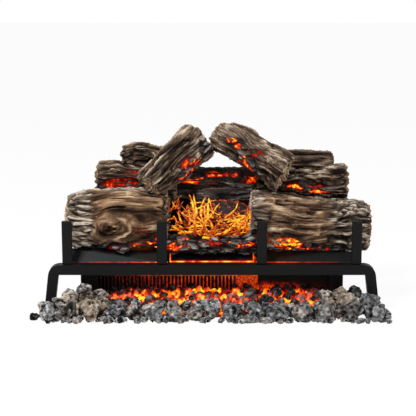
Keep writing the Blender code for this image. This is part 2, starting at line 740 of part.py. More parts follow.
def make_fan_wheel():
    """Three discs and a ring of forward-curved blades on one shaft; it turns about X."""
    shaft_start = FAN_END_PLATE_LEFT - FAN_SHAFT_STUB
    shaft_length = FAN_END_PLATE_RIGHT + CLEARANCE + FAN_SHAFT_STUB - shaft_start
    wheel = round_rod("fan_wheel", (shaft_start, FAN_Y, FAN_Z), "X", shaft_length, FAN_SHAFT_RADIUS,
                      "black_plastic")
    discs = (
        FAN_WHEEL_LEFT,
        FAN_MIDDLE_X - FAN_DISC_THICKNESS / 2,
        FAN_WHEEL_RIGHT - FAN_DISC_THICKNESS,
    )
    for disc_x in discs:
        disc = cone_mesh("fan_disc", (disc_x, FAN_Y, FAN_Z), "X", FAN_DISC_THICKNESS, FAN_WHEEL_RADIUS)
        join(wheel, add_object("fan_disc", disc))
    inner_radius = FAN_WHEEL_RADIUS - FAN_BLADE_DEPTH
    rim_radius = FAN_WHEEL_RADIUS - FAN_BLADE_THICKNESS / 2
    left = FAN_WHEEL_LEFT + FAN_DISC_THICKNESS / 2
    right = FAN_WHEEL_RIGHT - FAN_DISC_THICKNESS / 2

    def blades(work):
        steps = 2
        sweep = math.degrees(FAN_BLADE_DEPTH / FAN_WHEEL_RADIUS)
        half_wall = math.degrees(FAN_BLADE_THICKNESS / 2 / FAN_WHEEL_RADIUS)
        for index in range(FAN_BLADE_COUNT):
            turn = 360 * index / FAN_BLADE_COUNT
            front = []
            back = []
            for step in range(steps + 1):
                share = step / steps
                radius = inner_radius + (rim_radius - inner_radius) * share
                lean = turn + sweep * share * share
                front.append(fan_point(radius, lean + half_wall))
                back.append(fan_point(radius, lean - half_wall))
            loop = front + back[::-1]
            near = [work.verts.new((left, y, z)) for y, z in loop]
            far = [work.verts.new((right, y, z)) for y, z in loop]
            work.faces.new(near)
            work.faces.new(far[::-1])
            for corner in range(len(loop)):
                after = (corner + 1) % len(loop)
                work.faces.new((near[corner], far[corner], far[after], near[after]))

    join(wheel, add_object("fan_blades", mesh_from("fan_blades", blades)))
    set_origin(wheel, (FAN_MIDDLE_X, FAN_Y, FAN_Z))
    return wheel


def make_fan_motor():
    """A can motor with a boss whose blind bore holds the end of the fan's shaft."""
    start = FAN_END_PLATE_RIGHT + CLEARANCE
    motor = round_rod("fan_motor", (start + FAN_MOTOR_BOSS_LENGTH, FAN_Y, FAN_Z), "X", FAN_MOTOR_LENGTH,
                      FAN_MOTOR_RADIUS, "galvanised")
    boss = cone_mesh("fan_motor_boss", (start, FAN_Y, FAN_Z), "X", 2 * FAN_MOTOR_BOSS_LENGTH,
                     FAN_MOTOR_BOSS_RADIUS)
    join(motor, add_object("fan_motor_boss", boss))
    bore = cone_mesh("fan_motor_bore", (start - CUT_OVERRUN, FAN_Y, FAN_Z), "X",
                     CUT_OVERRUN + FAN_SHAFT_STUB + CLEARANCE, FAN_SHAFT_RADIUS + CLEARANCE)
    cut(motor, add_object("fan_motor_bore", bore))
    return motor


DUCT_REAR_Y = FAN_CASE_FRONT_Y - FAN_HOUSING_WALL - CLEARANCE
DUCT_FRONT_Y = BASE_FRONT_Y + PANEL_FLANGE + CLEARANCE
DUCT_FLOOR = FAN_Z - FAN_SCROLL_RADIUS - FAN_SCROLL_GROWTH


def duct_inside_at(y):
    """Left, right and top of the flared space inside the duct at one depth."""
    share = (y - DUCT_FRONT_Y) / (DUCT_REAR_Y - DUCT_FRONT_Y)
    rear_left = FAN_END_PLATE_LEFT + FAN_HOUSING_WALL
    rear_right = FAN_END_PLATE_RIGHT - FAN_HOUSING_WALL
    rear_top = fan_point(FAN_SCROLL_RADIUS, FAN_TONGUE_DEG)[1]
    left = OUTLET_LEFT + (rear_left - OUTLET_LEFT) * share
    right = OUTLET_RIGHT + (rear_right - OUTLET_RIGHT) * share
    top = OUTLET_TOP + (rear_top - OUTLET_TOP) * share
    return left, right, top


def funnel_mesh(name, grow, reach):
    """The space inside the duct, widened by a wall on every side and lengthened at both ends."""

    def build(work):
        bmesh.ops.create_cube(work, size=1.0)
        for corner in work.verts:
            at_rear = corner.co.y > 0
            corner.co.y = DUCT_REAR_Y + reach if at_rear else DUCT_FRONT_Y - reach
            left, right, top = duct_inside_at(corner.co.y)
            corner.co.x = right + grow if corner.co.x > 0 else left - grow
            corner.co.z = top + grow if corner.co.z > 0 else DUCT_FLOOR - grow

    return mesh_from(name, build)


def make_air_duct():
    """A flared tunnel from the fan to the outlet slots, on two feet."""
    duct = add_object("air_duct", funnel_mesh("air_duct", FAN_HOUSING_WALL, 0.0), "galvanised")
    cut(duct, add_object("duct_inside", funnel_mesh("duct_inside", 0.0, CUT_OVERRUN)))
    middle_y = (DUCT_REAR_Y + DUCT_FRONT_Y) / 2
    foot_top = DUCT_FLOOR - FAN_HOUSING_WALL / 2
    for foot_x in (FAN_MIDDLE_X - FAN_WHEEL_LENGTH / 4, FAN_MIDDLE_X + FAN_WHEEL_LENGTH / 4):
        join_block(duct, (foot_x, middle_y - FAN_FOOT_WIDTH / 2, PAN_FLOOR + CLEARANCE),
                   (foot_x + FAN_FOOT_WIDTH, middle_y + FAN_FOOT_WIDTH / 2, foot_top))
    return duct


def make_heating_element():
    """Two long bars with a row of thin fins between them, standing in the mouth of the duct."""
    middle_y = DUCT_FRONT_Y + ELEMENT_DEPTH
    _, duct_right, _ = duct_inside_at(middle_y + ELEMENT_DEPTH / 2)
    duct_left, _, duct_top = duct_inside_at(middle_y - ELEMENT_DEPTH / 2)
    left = duct_left + FAN_END_GAP
    right = duct_right - CLEARANCE
    bottom = DUCT_FLOOR + CLEARANCE
    top = duct_top - CLEARANCE
    gap = (right - left - ELEMENT_FIN_THICKNESS) / ELEMENT_FIN_COUNT
    loops = [[(left, bottom), (right, bottom), (right, top), (left, top)]]
    for index in range(ELEMENT_FIN_COUNT):
        near = left + ELEMENT_FIN_THICKNESS + index * gap
        far = near + gap - ELEMENT_FIN_THICKNESS
        low = bottom + ELEMENT_BAR_HEIGHT
        high = top - ELEMENT_BAR_HEIGHT
        loops.append([(near, low), (far, low), (far, high), (near, high)])
    return plate_in_xz("heating_element", loops, middle_y, ELEMENT_DEPTH, "heater_fins")


def make_thermal_cutout():
    """A round cut-out switch on top of the duct."""
    middle_y = (DUCT_REAR_Y + DUCT_FRONT_Y) / 2
    duct_top = duct_inside_at(middle_y + CUTOUT_RADIUS)[2]
    top = duct_top + FAN_HOUSING_WALL + CLEARANCE
    return round_rod("thermal_cutout", (FAN_MIDDLE_X, middle_y, top), "Z", CUTOUT_THICKNESS,
                     CUTOUT_RADIUS, "white_plastic", 16)


# Boards


def make_control_board():
    """The power board on four posts, with a relay and a capacitor on it."""
    left = CONTROL_BOARD_LEFT
    front = CONTROL_BOARD_FRONT_Y
    bottom = PAN_FLOOR + CLEARANCE + BOARD_STANDOFF
    top = bottom + CIRCUIT_BOARD_THICKNESS
    right = left + CONTROL_BOARD_LENGTH
    rear = front + CONTROL_BOARD_DEPTH
    board = block("control_board", (left, front, bottom), (right, rear, top), "circuit_board")
    post = BOARD_STANDOFF
    for post_x in (left + post, right - 2 * post):
        for post_y in (front + post, rear - 2 * post):
            join_block(board, (post_x, post_y, PAN_FLOOR + CLEARANCE),
                       (post_x + post, post_y + post, bottom + CIRCUIT_BOARD_THICKNESS / 2))
    relay = BOARD_CHIP_HEIGHT
    middle_x = (left + right) / 2
    middle_y = (front + rear) / 2
    low_z = bottom + CIRCUIT_BOARD_THICKNESS / 2
    join_block(board, (middle_x, middle_y, low_z), (middle_x + 2 * relay, middle_y + relay, top + relay))
    can = cone_mesh("capacitor", (left + 2 * relay, middle_y, low_z), "Z", relay, relay / 2, None, 12)
    join(board, add_object("capacitor", can))
    return board


def make_light_driver():
    """The small sealed supply for the lights."""
    front = CONTROL_BOARD_FRONT_Y + CONTROL_BOARD_DEPTH + DRIVER_GAP
    low = (CONTROL_BOARD_LEFT, front, PAN_FLOOR + CLEARANCE)
    high = (CONTROL_BOARD_LEFT + DRIVER_LENGTH, front + DRIVER_DEPTH, PAN_FLOOR + DRIVER_HEIGHT)
    driver = block("light_driver", low, high, "black_plastic")
    rim_chamfer(driver, DRIVER_HEIGHT / 12)
    return driver


def make_light_board(name, middle, length, depth):
    """A strip of light-emitting chips on a narrow board; middle is the middle of its underside."""
    x, y, z = middle
    top = z + CIRCUIT_BOARD_THICKNESS
    board = block(name, (x - length / 2, y - depth / 2, z), (x + length / 2, y + depth / 2, top),
                  "circuit_board")
    count = int(length / LED_PITCH)
    first = x - (count - 1) * LED_PITCH / 2
    chips = comb_cutter(name + "_chips", first - LED_SIZE / 2, LED_PITCH, count, LED_SIZE,
                        (y - LED_SIZE / 2, z + CIRCUIT_BOARD_THICKNESS / 2),
                        (y + LED_SIZE / 2, top + LED_HEIGHT))
    join(board, chips)
    return board


# Flame projector: a cover with a rear window, and a spindle of reflecting flags between bush and motor

SPINDLE_Y = (PROJECTOR_FRONT_Y + REAR_Y) / 2
SPINDLE_Z = PROJECTOR_BOTTOM + PROJECTOR_HEIGHT / 2
COVER_INSIDE = PROJECTOR_WIDTH / 2 - PROJECTOR_WALL
BUSH_LEFT = -COVER_INSIDE + CLEARANCE
BUSH_FACE = BUSH_LEFT + BUSH_LENGTH
SPINDLE_MOTOR_FACE = COVER_INSIDE - CLEARANCE - SPINDLE_MOTOR_LENGTH


def make_projector_housing():
    """A box open at the bottom, with the light window cut in its rear wall."""
    half = PROJECTOR_WIDTH / 2
    housing = block("projector_housing", (-half, PROJECTOR_FRONT_Y, PROJECTOR_BOTTOM),
                    (half, REAR_Y, PROJECTOR_TOP), "black_steel")
    wall = PROJECTOR_WALL
    cut_block(housing, (-half + wall, PROJECTOR_FRONT_Y + wall, PROJECTOR_BOTTOM - CUT_OVERRUN),
              (half - wall, REAR_Y - wall, PROJECTOR_TOP - wall))
    cut_block(housing, (-WINDOW_WIDTH / 2, REAR_Y - CUT_OVERRUN, SPINDLE_Z - WINDOW_HEIGHT / 2),
              (WINDOW_WIDTH / 2, REAR_Y + CUT_OVERRUN, SPINDLE_Z + WINDOW_HEIGHT / 2))
    return housing


def make_flame_window():
    """The smoked pane in the cover's opening, with a lip behind the wall."""
    half = WINDOW_WIDTH / 2 - CLEARANCE
    half_height = WINDOW_HEIGHT / 2 - CLEARANCE
    inside = REAR_Y - PROJECTOR_WALL - CLEARANCE
    pane = block("flame_window", (-half, inside - WINDOW_THICKNESS / 2, SPINDLE_Z - half_height),
                 (half, REAR_Y, SPINDLE_Z + half_height), "smoked_window")
    lip = BEZEL_RIM
    join_block(pane, (-half - lip, inside - WINDOW_THICKNESS, SPINDLE_Z - half_height - lip),
               (half + lip, inside, SPINDLE_Z + half_height + lip))
    return pane


def make_flame_spindle():
    """A rod with twisted flags set round it in a spiral; it turns about X."""
    start = BUSH_FACE - SPINDLE_INSERT
    length = SPINDLE_MOTOR_FACE + SPINDLE_INSERT - start
    spindle = round_rod("flame_spindle", (start, SPINDLE_Y, SPINDLE_Z), "X", length, SPINDLE_RADIUS,
                        "mirror_flag", 16)
    first = BUSH_FACE + SPINDLE_FREE_END
    pitch = (SPINDLE_MOTOR_FACE - SPINDLE_FREE_END - first) / (FLAG_COUNT - 1)

    def flags(work):
        for index in range(FLAG_COUNT):
            size = Matrix.Diagonal((FLAG_WIDTH, FLAG_THICKNESS, FLAG_LENGTH, 1.0))
            outward = Matrix.Translation((0, 0, FLAG_LENGTH / 2))
            twist = Matrix.Rotation(math.radians(FLAG_TWIST_DEG), 4, "Z")
            turn = Matrix.Rotation(math.radians(FLAG_TURN_DEG * index), 4, "X")
            place = Matrix.Translation((first + index * pitch, SPINDLE_Y, SPINDLE_Z))
            bmesh.ops.create_cube(work, size=1.0, matrix=place @ turn @ outward @ twist @ size)

    join(spindle, add_object("flame_flags", mesh_from("flame_flags", flags)))
    set_origin(spindle, (0, SPINDLE_Y, SPINDLE_Z))
    return spindle


def blind_bore(item, face_x, direction):
    """The hole that holds one end of the spindle."""
    start = face_x - CUT_OVERRUN
    depth = SPINDLE_INSERT + CLEARANCE
    if direction < 0:
        start = face_x - depth
    bore = cone_mesh("bore_" + item.name, (start, SPINDLE_Y, SPINDLE_Z), "X", depth + CUT_OVERRUN,
                     SPINDLE_RADIUS + CLEARANCE, None, 16)
    cut(item, add_object("bore_" + item.name, bore))


def make_spindle_bush():
    bush = round_rod("spindle_bush", (BUSH_LEFT, SPINDLE_Y, SPINDLE_Z), "X", BUSH_LENGTH, BUSH_RADIUS,
                     "white_plastic", 16)
    blind_bore(bush, BUSH_FACE, -1)
    return bush


def make_spindle_motor():
    motor = round_rod("spindle_motor", (SPINDLE_MOTOR_FACE, SPINDLE_Y, SPINDLE_Z), "X",
                      SPINDLE_MOTOR_LENGTH, SPINDLE_MOTOR_RADIUS, "galvanised")
    blind_bore(motor, SPINDLE_MOTOR_FACE, 1)
    return motor


# Power rocker: it tilts about an upright pin in a bezel that passes through the right side panel

ROCKER_Y = BASE_FRONT_Y + ROCKER_FROM_FRONT
ROCKER_END = math.radians(ROCKER_END_DEG)
ROCKER_HALF = ROCKER_LENGTH / 2
ROCKER_RISE = ROCKER_HALF * math.sin(ROCKER_END)
ROCKER_X = BASE_WIDTH / 2 + CLEARANCE + BEZEL_THICKNESS + ROCKER_PROUD - ROCKER_RISE


def rocker_points():
    """The rocker seen from above: ends round about the pin, a shallow dip outside and a flat back."""
    steps = 4
    rear_end = []
    front_end = []
    for step in range(steps + 1):
        turn = ROCKER_END * (1 - 2 * step / steps)
        across = ROCKER_HALF * math.cos(turn)
        rear_end.append((ROCKER_X + ROCKER_HALF * math.sin(turn), ROCKER_Y + across))
        front_end.append((ROCKER_X - ROCKER_HALF * math.sin(turn), ROCKER_Y - across))
    return rear_end + front_end + [(ROCKER_X + ROCKER_RISE - ROCKER_DIP, ROCKER_Y)]


def make_power_rocker():
    place = Matrix.Translation((0, 0, ROCKER_HEIGHT))
    mesh = outline_mesh("power_rocker", [rocker_points()], ROCKER_WIDTH, place)
    rocker = add_object("power_rocker", mesh, "black_plastic")
    pin_length = ROCKER_WIDTH + 2 * (ROCKER_GAP + BEZEL_WALL / 2)
    pin = cone_mesh("rocker_pin", (ROCKER_X, ROCKER_Y, ROCKER_HEIGHT - pin_length / 2), "Z", pin_length,
                    ROCKER_PIN_RADIUS, None, 12)
    join(rocker, add_object("rocker_pin", pin))
    set_origin(rocker, (ROCKER_X, ROCKER_Y, ROCKER_HEIGHT))
    return rocker


def centred_block(name, low_x, high_x, half_y, half_z):
    """A block centred on the rocker in Y and Z."""
    return block(name, (low_x, ROCKER_Y - half_y, ROCKER_HEIGHT - half_z),
                 (high_x, ROCKER_Y + half_y, ROCKER_HEIGHT + half_z))


def bezel_halves(grow):
    """Half the height and width of the bezel's opening, grown by a wall or a rim."""
    return (ROCKER_HALF + ROCKER_GAP + grow, ROCKER_WIDTH / 2 + ROCKER_GAP + grow)


def make_rocker_bezel():
    """A rim outside the side panel and a sleeve through it, with bores for the rocker's pin."""
    rim_low = BASE_WIDTH / 2 + CLEARANCE
    rim_high = rim_low + BEZEL_THICKNESS
    rim_y, rim_z = bezel_halves(BEZEL_WALL + BEZEL_RIM)
    bezel = block("rocker_bezel", (rim_low, ROCKER_Y - rim_y, ROCKER_HEIGHT - rim_z),
                  (rim_high, ROCKER_Y + rim_y, ROCKER_HEIGHT + rim_z), "black_plastic")
    sleeve_low = rim_high - BEZEL_DEPTH
    join(bezel, centred_block("bezel_sleeve", sleeve_low, rim_high - BEZEL_THICKNESS / 2,
                              *bezel_halves(BEZEL_WALL)))
    cut(bezel, centred_block("bezel_opening", sleeve_low - CUT_OVERRUN, rim_high + CUT_OVERRUN,
                             *bezel_halves(0.0)))
    bore_length = ROCKER_WIDTH + 2 * (ROCKER_GAP + BEZEL_WALL + CUT_OVERRUN)
    bore = cone_mesh("bezel_bore", (ROCKER_X, ROCKER_Y, ROCKER_HEIGHT - bore_length / 2), "Z", bore_length,
                     ROCKER_PIN_RADIUS + CLEARANCE, None, 12)
    cut(bezel, add_object("bezel_bore", bore))
    return bezel


def cut_rocker_opening(panel):
    """The hole in the side panel that the bezel's sleeve passes through."""
    middle = BASE_WIDTH / 2
    cut(panel, centred_block("rocker_opening", middle - CUT_OVERRUN, middle + CUT_OVERRUN,
                             *bezel_halves(BEZEL_WALL + CLEARANCE)))


# Moulded logs: lofts along a bent line, lumpy like bark, notched where one rests on another

# Each log's line is given as shares of the stack: X from the middle, Y from the front, Z from the deck.
LOG_LINE_SHARES = {
    "log_front_left": [(-0.473, 0.385, 0.212), (-0.330, 0.385, 0.235), (-0.150, 0.385, 0.230)],
    "log_front_right": [(0.125, 0.385, 0.230), (0.300, 0.375, 0.195), (0.515, 0.375, 0.165)],
    "log_center_char": [(-0.152, 0.200, 0.062), (0.000, 0.180, 0.066), (0.152, 0.190, 0.062)],
    "log_rear_left": [(-0.385, 0.880, 0.480), (-0.260, 0.870, 0.492), (-0.120, 0.870, 0.470)],
    "log_rear_right": [(0.150, 0.870, 0.478), (0.300, 0.860, 0.480), (0.452, 0.880, 0.445)],
    "log_rear_center": [(-0.135, 0.860, 0.455), (0.020, 0.850, 0.470), (0.160, 0.860, 0.455)],
    "log_center_cross": [(-0.045, 0.500, 0.405), (0.040, 0.480, 0.415), (0.130, 0.470, 0.410)],
    "log_rear_left_upper": [(-0.298, 0.850, 0.668), (-0.236, 0.830, 0.690), (-0.160, 0.780, 0.692)],
    "log_rear_right_upper": [(0.225, 0.800, 0.648), (0.310, 0.830, 0.648), (0.402, 0.860, 0.636)],
    "log_top_left": [(-0.202, 0.270, 0.510), (-0.120, 0.440, 0.685), (-0.038, 0.620, 0.850)],
    "log_top_right": [(0.014, 0.620, 0.885), (0.130, 0.540, 0.775), (0.236, 0.380, 0.600)],
}
LOG_THICKNESS = {
    "log_front_left": 0.116,
    "log_front_right": 0.116,
    "log_center_char": 0.038,
    "log_rear_left": 0.072,
    "log_rear_right": 0.074,
    "log_rear_center": 0.062,
    "log_center_cross": 0.032,
    "log_rear_left_upper": 0.044,
    "log_rear_right_upper": 0.046,
    "log_top_left": 0.070,
    "log_top_right": 0.070,
}
# The girth along each log, as shares of its thickness at start, middle and end.
LOG_SWELL_SHARES = {
    "log_front_left": (0.84, 1.00, 0.94),
    "log_front_right": (1.00, 0.92, 0.76),
    "log_top_left": (0.80, 0.96, 1.04),
    "log_top_right": (0.84, 0.94, 1.06),
    "log_rear_left_upper": (0.90, 1.10, 0.90),
}
LOG_DEPTH_SHARES = {"log_center_char": 1.5}
LOG_MATERIALS = {
    "log_front_left": "log_tan",
    "log_front_right": "log_tan",
    "log_center_char": "log_char",
    "log_center_cross": "log_char",
    "log_rear_center": "log_char",
}
LUMP_SHARE = 0.16
END_BULGE_SHARE = 0.05
END_RING_SHARE = 0.035
LOG_FULLNESS = 2.5


def stack_point(shares):
    """A point of the log stack from its shares."""
    x, y, z = shares
    return Vector((x * STACK_WIDTH, STACK_FRONT_Y + y * STACK_DEPTH, STACK_BOTTOM + z * STACK_HEIGHT))


def bend(points, share):
    """A smooth curve through three values."""
    start, middle, end = points
    near = (1 - share) * (1 - 2 * share)
    half = 4 * share * (1 - share)
    far = share * (2 * share - 1)
    return start * near + middle * half + end * far


def log_sides(name):
    """How many facets go round a log: enough for the ridges of its bark."""
    return max(LOG_SIDES, round(math.pi * LOG_THICKNESS[name] / LOG_FACET_WIDTH))


def log_rings(name, grow):
    """The rings of points along a log, each grown outwards by the same amount."""
    sides = log_sides(name)
    line = [stack_point(shares) for shares in LOG_LINE_SHARES[name]]
    swell = LOG_SWELL_SHARES.get(name, (1.0, 1.0, 1.0))
    depth_share = LOG_DEPTH_SHARES.get(name, 1.0)
    seed = Vector((list(LOG_LINE_SHARES).index(name), 0, 0))
    along = (line[2] - line[0]).normalized()
    across = along.cross(Vector((0, 0, 1))).normalized()
    upward = across.cross(along)
    rings = []
    for ring in range(LOG_RINGS):
        share = (ring - 1) / (LOG_RINGS - 3)
        if ring in (0, LOG_RINGS - 1):
            share = 0.0 if ring == 0 else 1.0
        else:
            share = END_RING_SHARE + (1 - 2 * END_RING_SHARE) * share
        middle = bend(line, share)
        girth = bend(swell, share) * LOG_THICKNESS[name] / 2
        if ring == 0:
            middle = middle - along * grow
        if ring == LOG_RINGS - 1:
            middle = middle + along * grow
        points = []
        for side in range(sides):
            turn = 2 * math.pi * side / sides
            fullness = (abs(math.cos(turn)) ** LOG_FULLNESS + abs(math.sin(turn)) ** LOG_FULLNESS)
            outward = across * (math.cos(turn) * depth_share) + upward * math.sin(turn)
            outward = outward / fullness ** (1 / LOG_FULLNESS)
            spot = bend(line, share) + outward * girth
            lump = 1 + LUMP_SHARE * noise.noise(spot / LOG_LUMP_SIZE + seed)
            edge = END_TAPER_SHARE if ring in (0, LOG_RINGS - 1) else 1.0
            cell = Vector((spot.dot(along) / LOG_RIDGE_LENGTH, spot.dot(across) / LOG_RIDGE_WIDTH,
                           spot.dot(upward) / LOG_RIDGE_WIDTH))
            ridge = LOG_RIDGE_HEIGHT * noise.noise(cell + seed)
            reach = girth * lump * edge + ridge + grow
            points.append(middle + outward * reach)
        rings.append(points)
    bulge = along * (LOG_THICKNESS[name] * END_BULGE_SHARE + grow)
    return rings, bend(line, 0.0) - bulge, bend(line, 1.0) + bulge


def log_mesh(name, grow=0.0):
    """A closed loft through the rings, with a blunt point at each broken end."""

    def build(work):
        sides = log_sides(name)
        rings, first_tip, last_tip = log_rings(name, grow)
        rows = [[work.verts.new(point) for point in ring] for ring in rings]
        tips = (work.verts.new(first_tip), work.verts.new(last_tip))
        for side in range(sides):
            after = (side + 1) % sides
            work.faces.new((tips[0], rows[0][after], rows[0][side]))
            work.faces.new((tips[1], rows[-1][side], rows[-1][after]))
            for near, far in zip(rows, rows[1:]):
                work.faces.new((near[side], near[after], far[after], far[side]))
        bmesh.ops.triangulate(work, faces=work.faces)

    return mesh_from(name, build)


def bounds(mesh, grow=0.0):
    """The lowest and highest corner of a mesh."""
    low = Vector([min(corner.co[axis] for corner in mesh.vertices) - grow for axis in range(3)])
    high = Vector([max(corner.co[axis] for corner in mesh.vertices) + grow for axis in range(3)])
    return low, high


def boxes_meet(first, second):
    return all(first[0][axis] < second[1][axis] and second[0][axis] < first[1][axis] for axis in range(3))


def fixed_neighbours():
    """What the logs stand on or in front of: the deck, the projector and the uprights."""
    half = OVERALL_WIDTH / 2
    deck = block("deck_clearance", (-half, FRONT_Y, 0), (half, REAR_Y, STACK_BOTTOM))
    half_projector = PROJECTOR_WIDTH / 2 + CLEARANCE
    projector = block("projector_clearance", (-half_projector, PROJECTOR_FRONT_Y - CLEARANCE, BASE_TOP),
                      (half_projector, REAR_Y + CUT_OVERRUN, PROJECTOR_TOP + CLEARANCE))
    grate = block("upright_clearance", (-half, FRONT_Y, 0),
                  (half, UPRIGHT_REAR_Y + CLEARANCE, RAIL_TOP + 2 * UPRIGHT_HEIGHT))
    return [deck, projector, grate]


def cut_by_neighbours(piece, neighbours):
    """Cut a piece by each neighbour whose box its own box meets."""
    own = bounds(piece.data)
    for neighbour in neighbours:
        if boxes_meet(own, bounds(neighbour.data)):
            cut(piece, neighbour)


def make_logs():
    """Every log, the lower ones first, so that a later log is notched where it rests."""
    neighbours = fixed_neighbours()
    for name in LOG_LINE_SHARES:
        log = add_object(name, log_mesh(name), LOG_MATERIALS.get(name, "log_grey"))
        cut_by_neighbours(log, neighbours)
        neighbours.append(add_object("clearance_" + name, log_mesh(name, CLEARANCE)))
    return neighbours


# Glowing nest of branches, ember bed and hearth rocks


def twig_mesh(name, start, end, radius):
    """A six-sided twig between two points."""
    run = end - start

    def build(work):
        place = Matrix.Translation((start + end) / 2) @ run.to_track_quat("Z", "Y").to_matrix().to_4x4()
        bmesh.ops.create_cone(work, cap_ends=True, segments=5, radius1=radius, radius2=radius * 0.6,
                              depth=run.length, matrix=place)

    return mesh_from(name, build)


def make_ember_nest(neighbours):
    """A resin mound wrapped in crossing branches, cut to sit between the logs."""
    middle = Vector((NEST_X, NEST_Y, NEST_Z))
    size = Vector((NEST_WIDTH, NEST_DEPTH, NEST_HEIGHT)) / 2

    def mound(work):
        place = Matrix.Translation(middle) @ Matrix.Diagonal((*size, 1.0))
        bmesh.ops.create_uvsphere(work, u_segments=12, v_segments=6, radius=1.0, matrix=place)

    nest = add_object("ember_nest", mesh_from("ember_nest", mound), "ember_resin")
    chance = random.Random(4)
    for index in range(NEST_TWIG_COUNT):
        start_turn = math.pi * (1.0 + 0.8 * index / NEST_TWIG_COUNT)
        end_turn = start_turn + math.pi * chance.uniform(0.16, 0.3)
        points = []
        for turn, tilt in ((start_turn, chance.uniform(-0.7, 0.3)), (end_turn, chance.uniform(-0.2, 1.0))):
            unit = Vector((math.cos(turn) * math.cos(tilt), math.sin(turn) * math.cos(tilt), math.sin(tilt)))
            points.append(middle + Vector([unit[axis] * size[axis] * TWIG_REACH_SHARE for axis in range(3)]))
        twig = twig_mesh("nest_twig", points[0], points[1], NEST_TWIG_RADIUS)
        join(nest, add_object("nest_twig", twig))
    cut_by_neighbours(nest, neighbours)
    return nest


BED_REAR_Y = BASE_FRONT_Y - BED_GAP
BED_FRONT_Y = FRONT_Y + ROCK_STRIP_DEPTH
BED_DEPTH = BED_REAR_Y - BED_FRONT_Y
BED_MIDDLE_Y = (BED_REAR_Y + BED_FRONT_Y) / 2


def bed_height(x, y):
    """The ember bed's top: a slope up to the heater, lumps of coal and low sides."""
    rear_share = (y - BED_FRONT_Y) / BED_DEPTH
    side_share = min(1.0, (BED_WIDTH / 2 - abs(x)) / BED_SIDE_ROUND)
    slope = BED_FRONT_HEIGHT + (BED_REAR_HEIGHT - BED_FRONT_HEIGHT) * rear_share
    lump = noise.noise(Vector((x, y, 0)) / BED_LUMP_SIZE)
    return slope * (1 - BED_SIDE_DROP_SHARE * (1 - side_share)) + BED_LUMP_HEIGHT * lump


def make_ember_bed():
    """A moulded bed of coals, open below for its light board."""

    def build(work):
        half = Vector((BED_WIDTH / 2, BED_DEPTH / 2, 1.0, 1.0))
        place = Matrix.Translation((0, BED_MIDDLE_Y, 0)) @ Matrix.Diagonal(half)
        bmesh.ops.create_grid(work, x_segments=30, y_segments=7, size=1.0, matrix=place)
        floor_faces = list(work.faces)
        raised = bmesh.ops.extrude_face_region(work, geom=floor_faces)
        for corner in raised["geom"]:
            if isinstance(corner, bmesh.types.BMVert):
                corner.co.z = bed_height(corner.co.x, corner.co.y)
        bmesh.ops.dissolve_limit(work, angle_limit=math.radians(1), verts=work.verts, edges=work.edges)
        bmesh.ops.triangulate(work, faces=work.faces)

    bed = add_object("ember_bed", mesh_from("ember_bed", build), "ember_resin")
    half_length = EMBER_BOARD_LENGTH / 2 + CLEARANCE
    half_depth = EMBER_BOARD_DEPTH / 2 + CLEARANCE
    cut_block(bed, (-half_length, BED_MIDDLE_Y - half_depth, -CUT_OVERRUN),
              (half_length, BED_MIDDLE_Y + half_depth, EMBER_CHANNEL_HEIGHT))
    return bed


def rock_mesh(name, chance, middle, radius):
    """One angular lump, sized to its radius in X and Y."""

    def build(work):
        bmesh.ops.create_cube(work, size=1.0)
        bmesh.ops.subdivide_edges(work, edges=work.edges, cuts=1, use_grid_fill=True)
        turn = Matrix.Rotation(chance.uniform(0, math.pi), 3, "Z")
        turn = turn @ Matrix.Rotation(chance.uniform(0, math.pi), 3, "X")
        for corner in work.verts:
            unit = corner.co.normalized()
            unit *= 1 + chance.uniform(-ROCK_ROUGHNESS_SHARE, ROCK_ROUGHNESS_SHARE)
            corner.co = turn @ unit
        low = [min(corner.co[axis] for corner in work.verts) for axis in range(3)]
        high = [max(corner.co[axis] for corner in work.verts) for axis in range(3)]
        for corner in work.verts:
            share = [(corner.co[axis] - low[axis]) / (high[axis] - low[axis]) for axis in range(3)]
            corner.co = middle + Vector([radius * (2 * part - 1) for part in share])
        bmesh.ops.triangulate(work, faces=work.faces)

    return mesh_from(name, build)


def row_places(low, high, count, radius, chance, jitter):
    """Middles of a row of lumps, the end ones touching the limits."""
    places = []
    for index in range(count):
        place = low + radius + (high - low - 2 * radius) * index / max(1, count - 1)
        if 0 < index < count - 1:
            place += chance.uniform(-jitter, jitter)
        places.append(place)
    return places


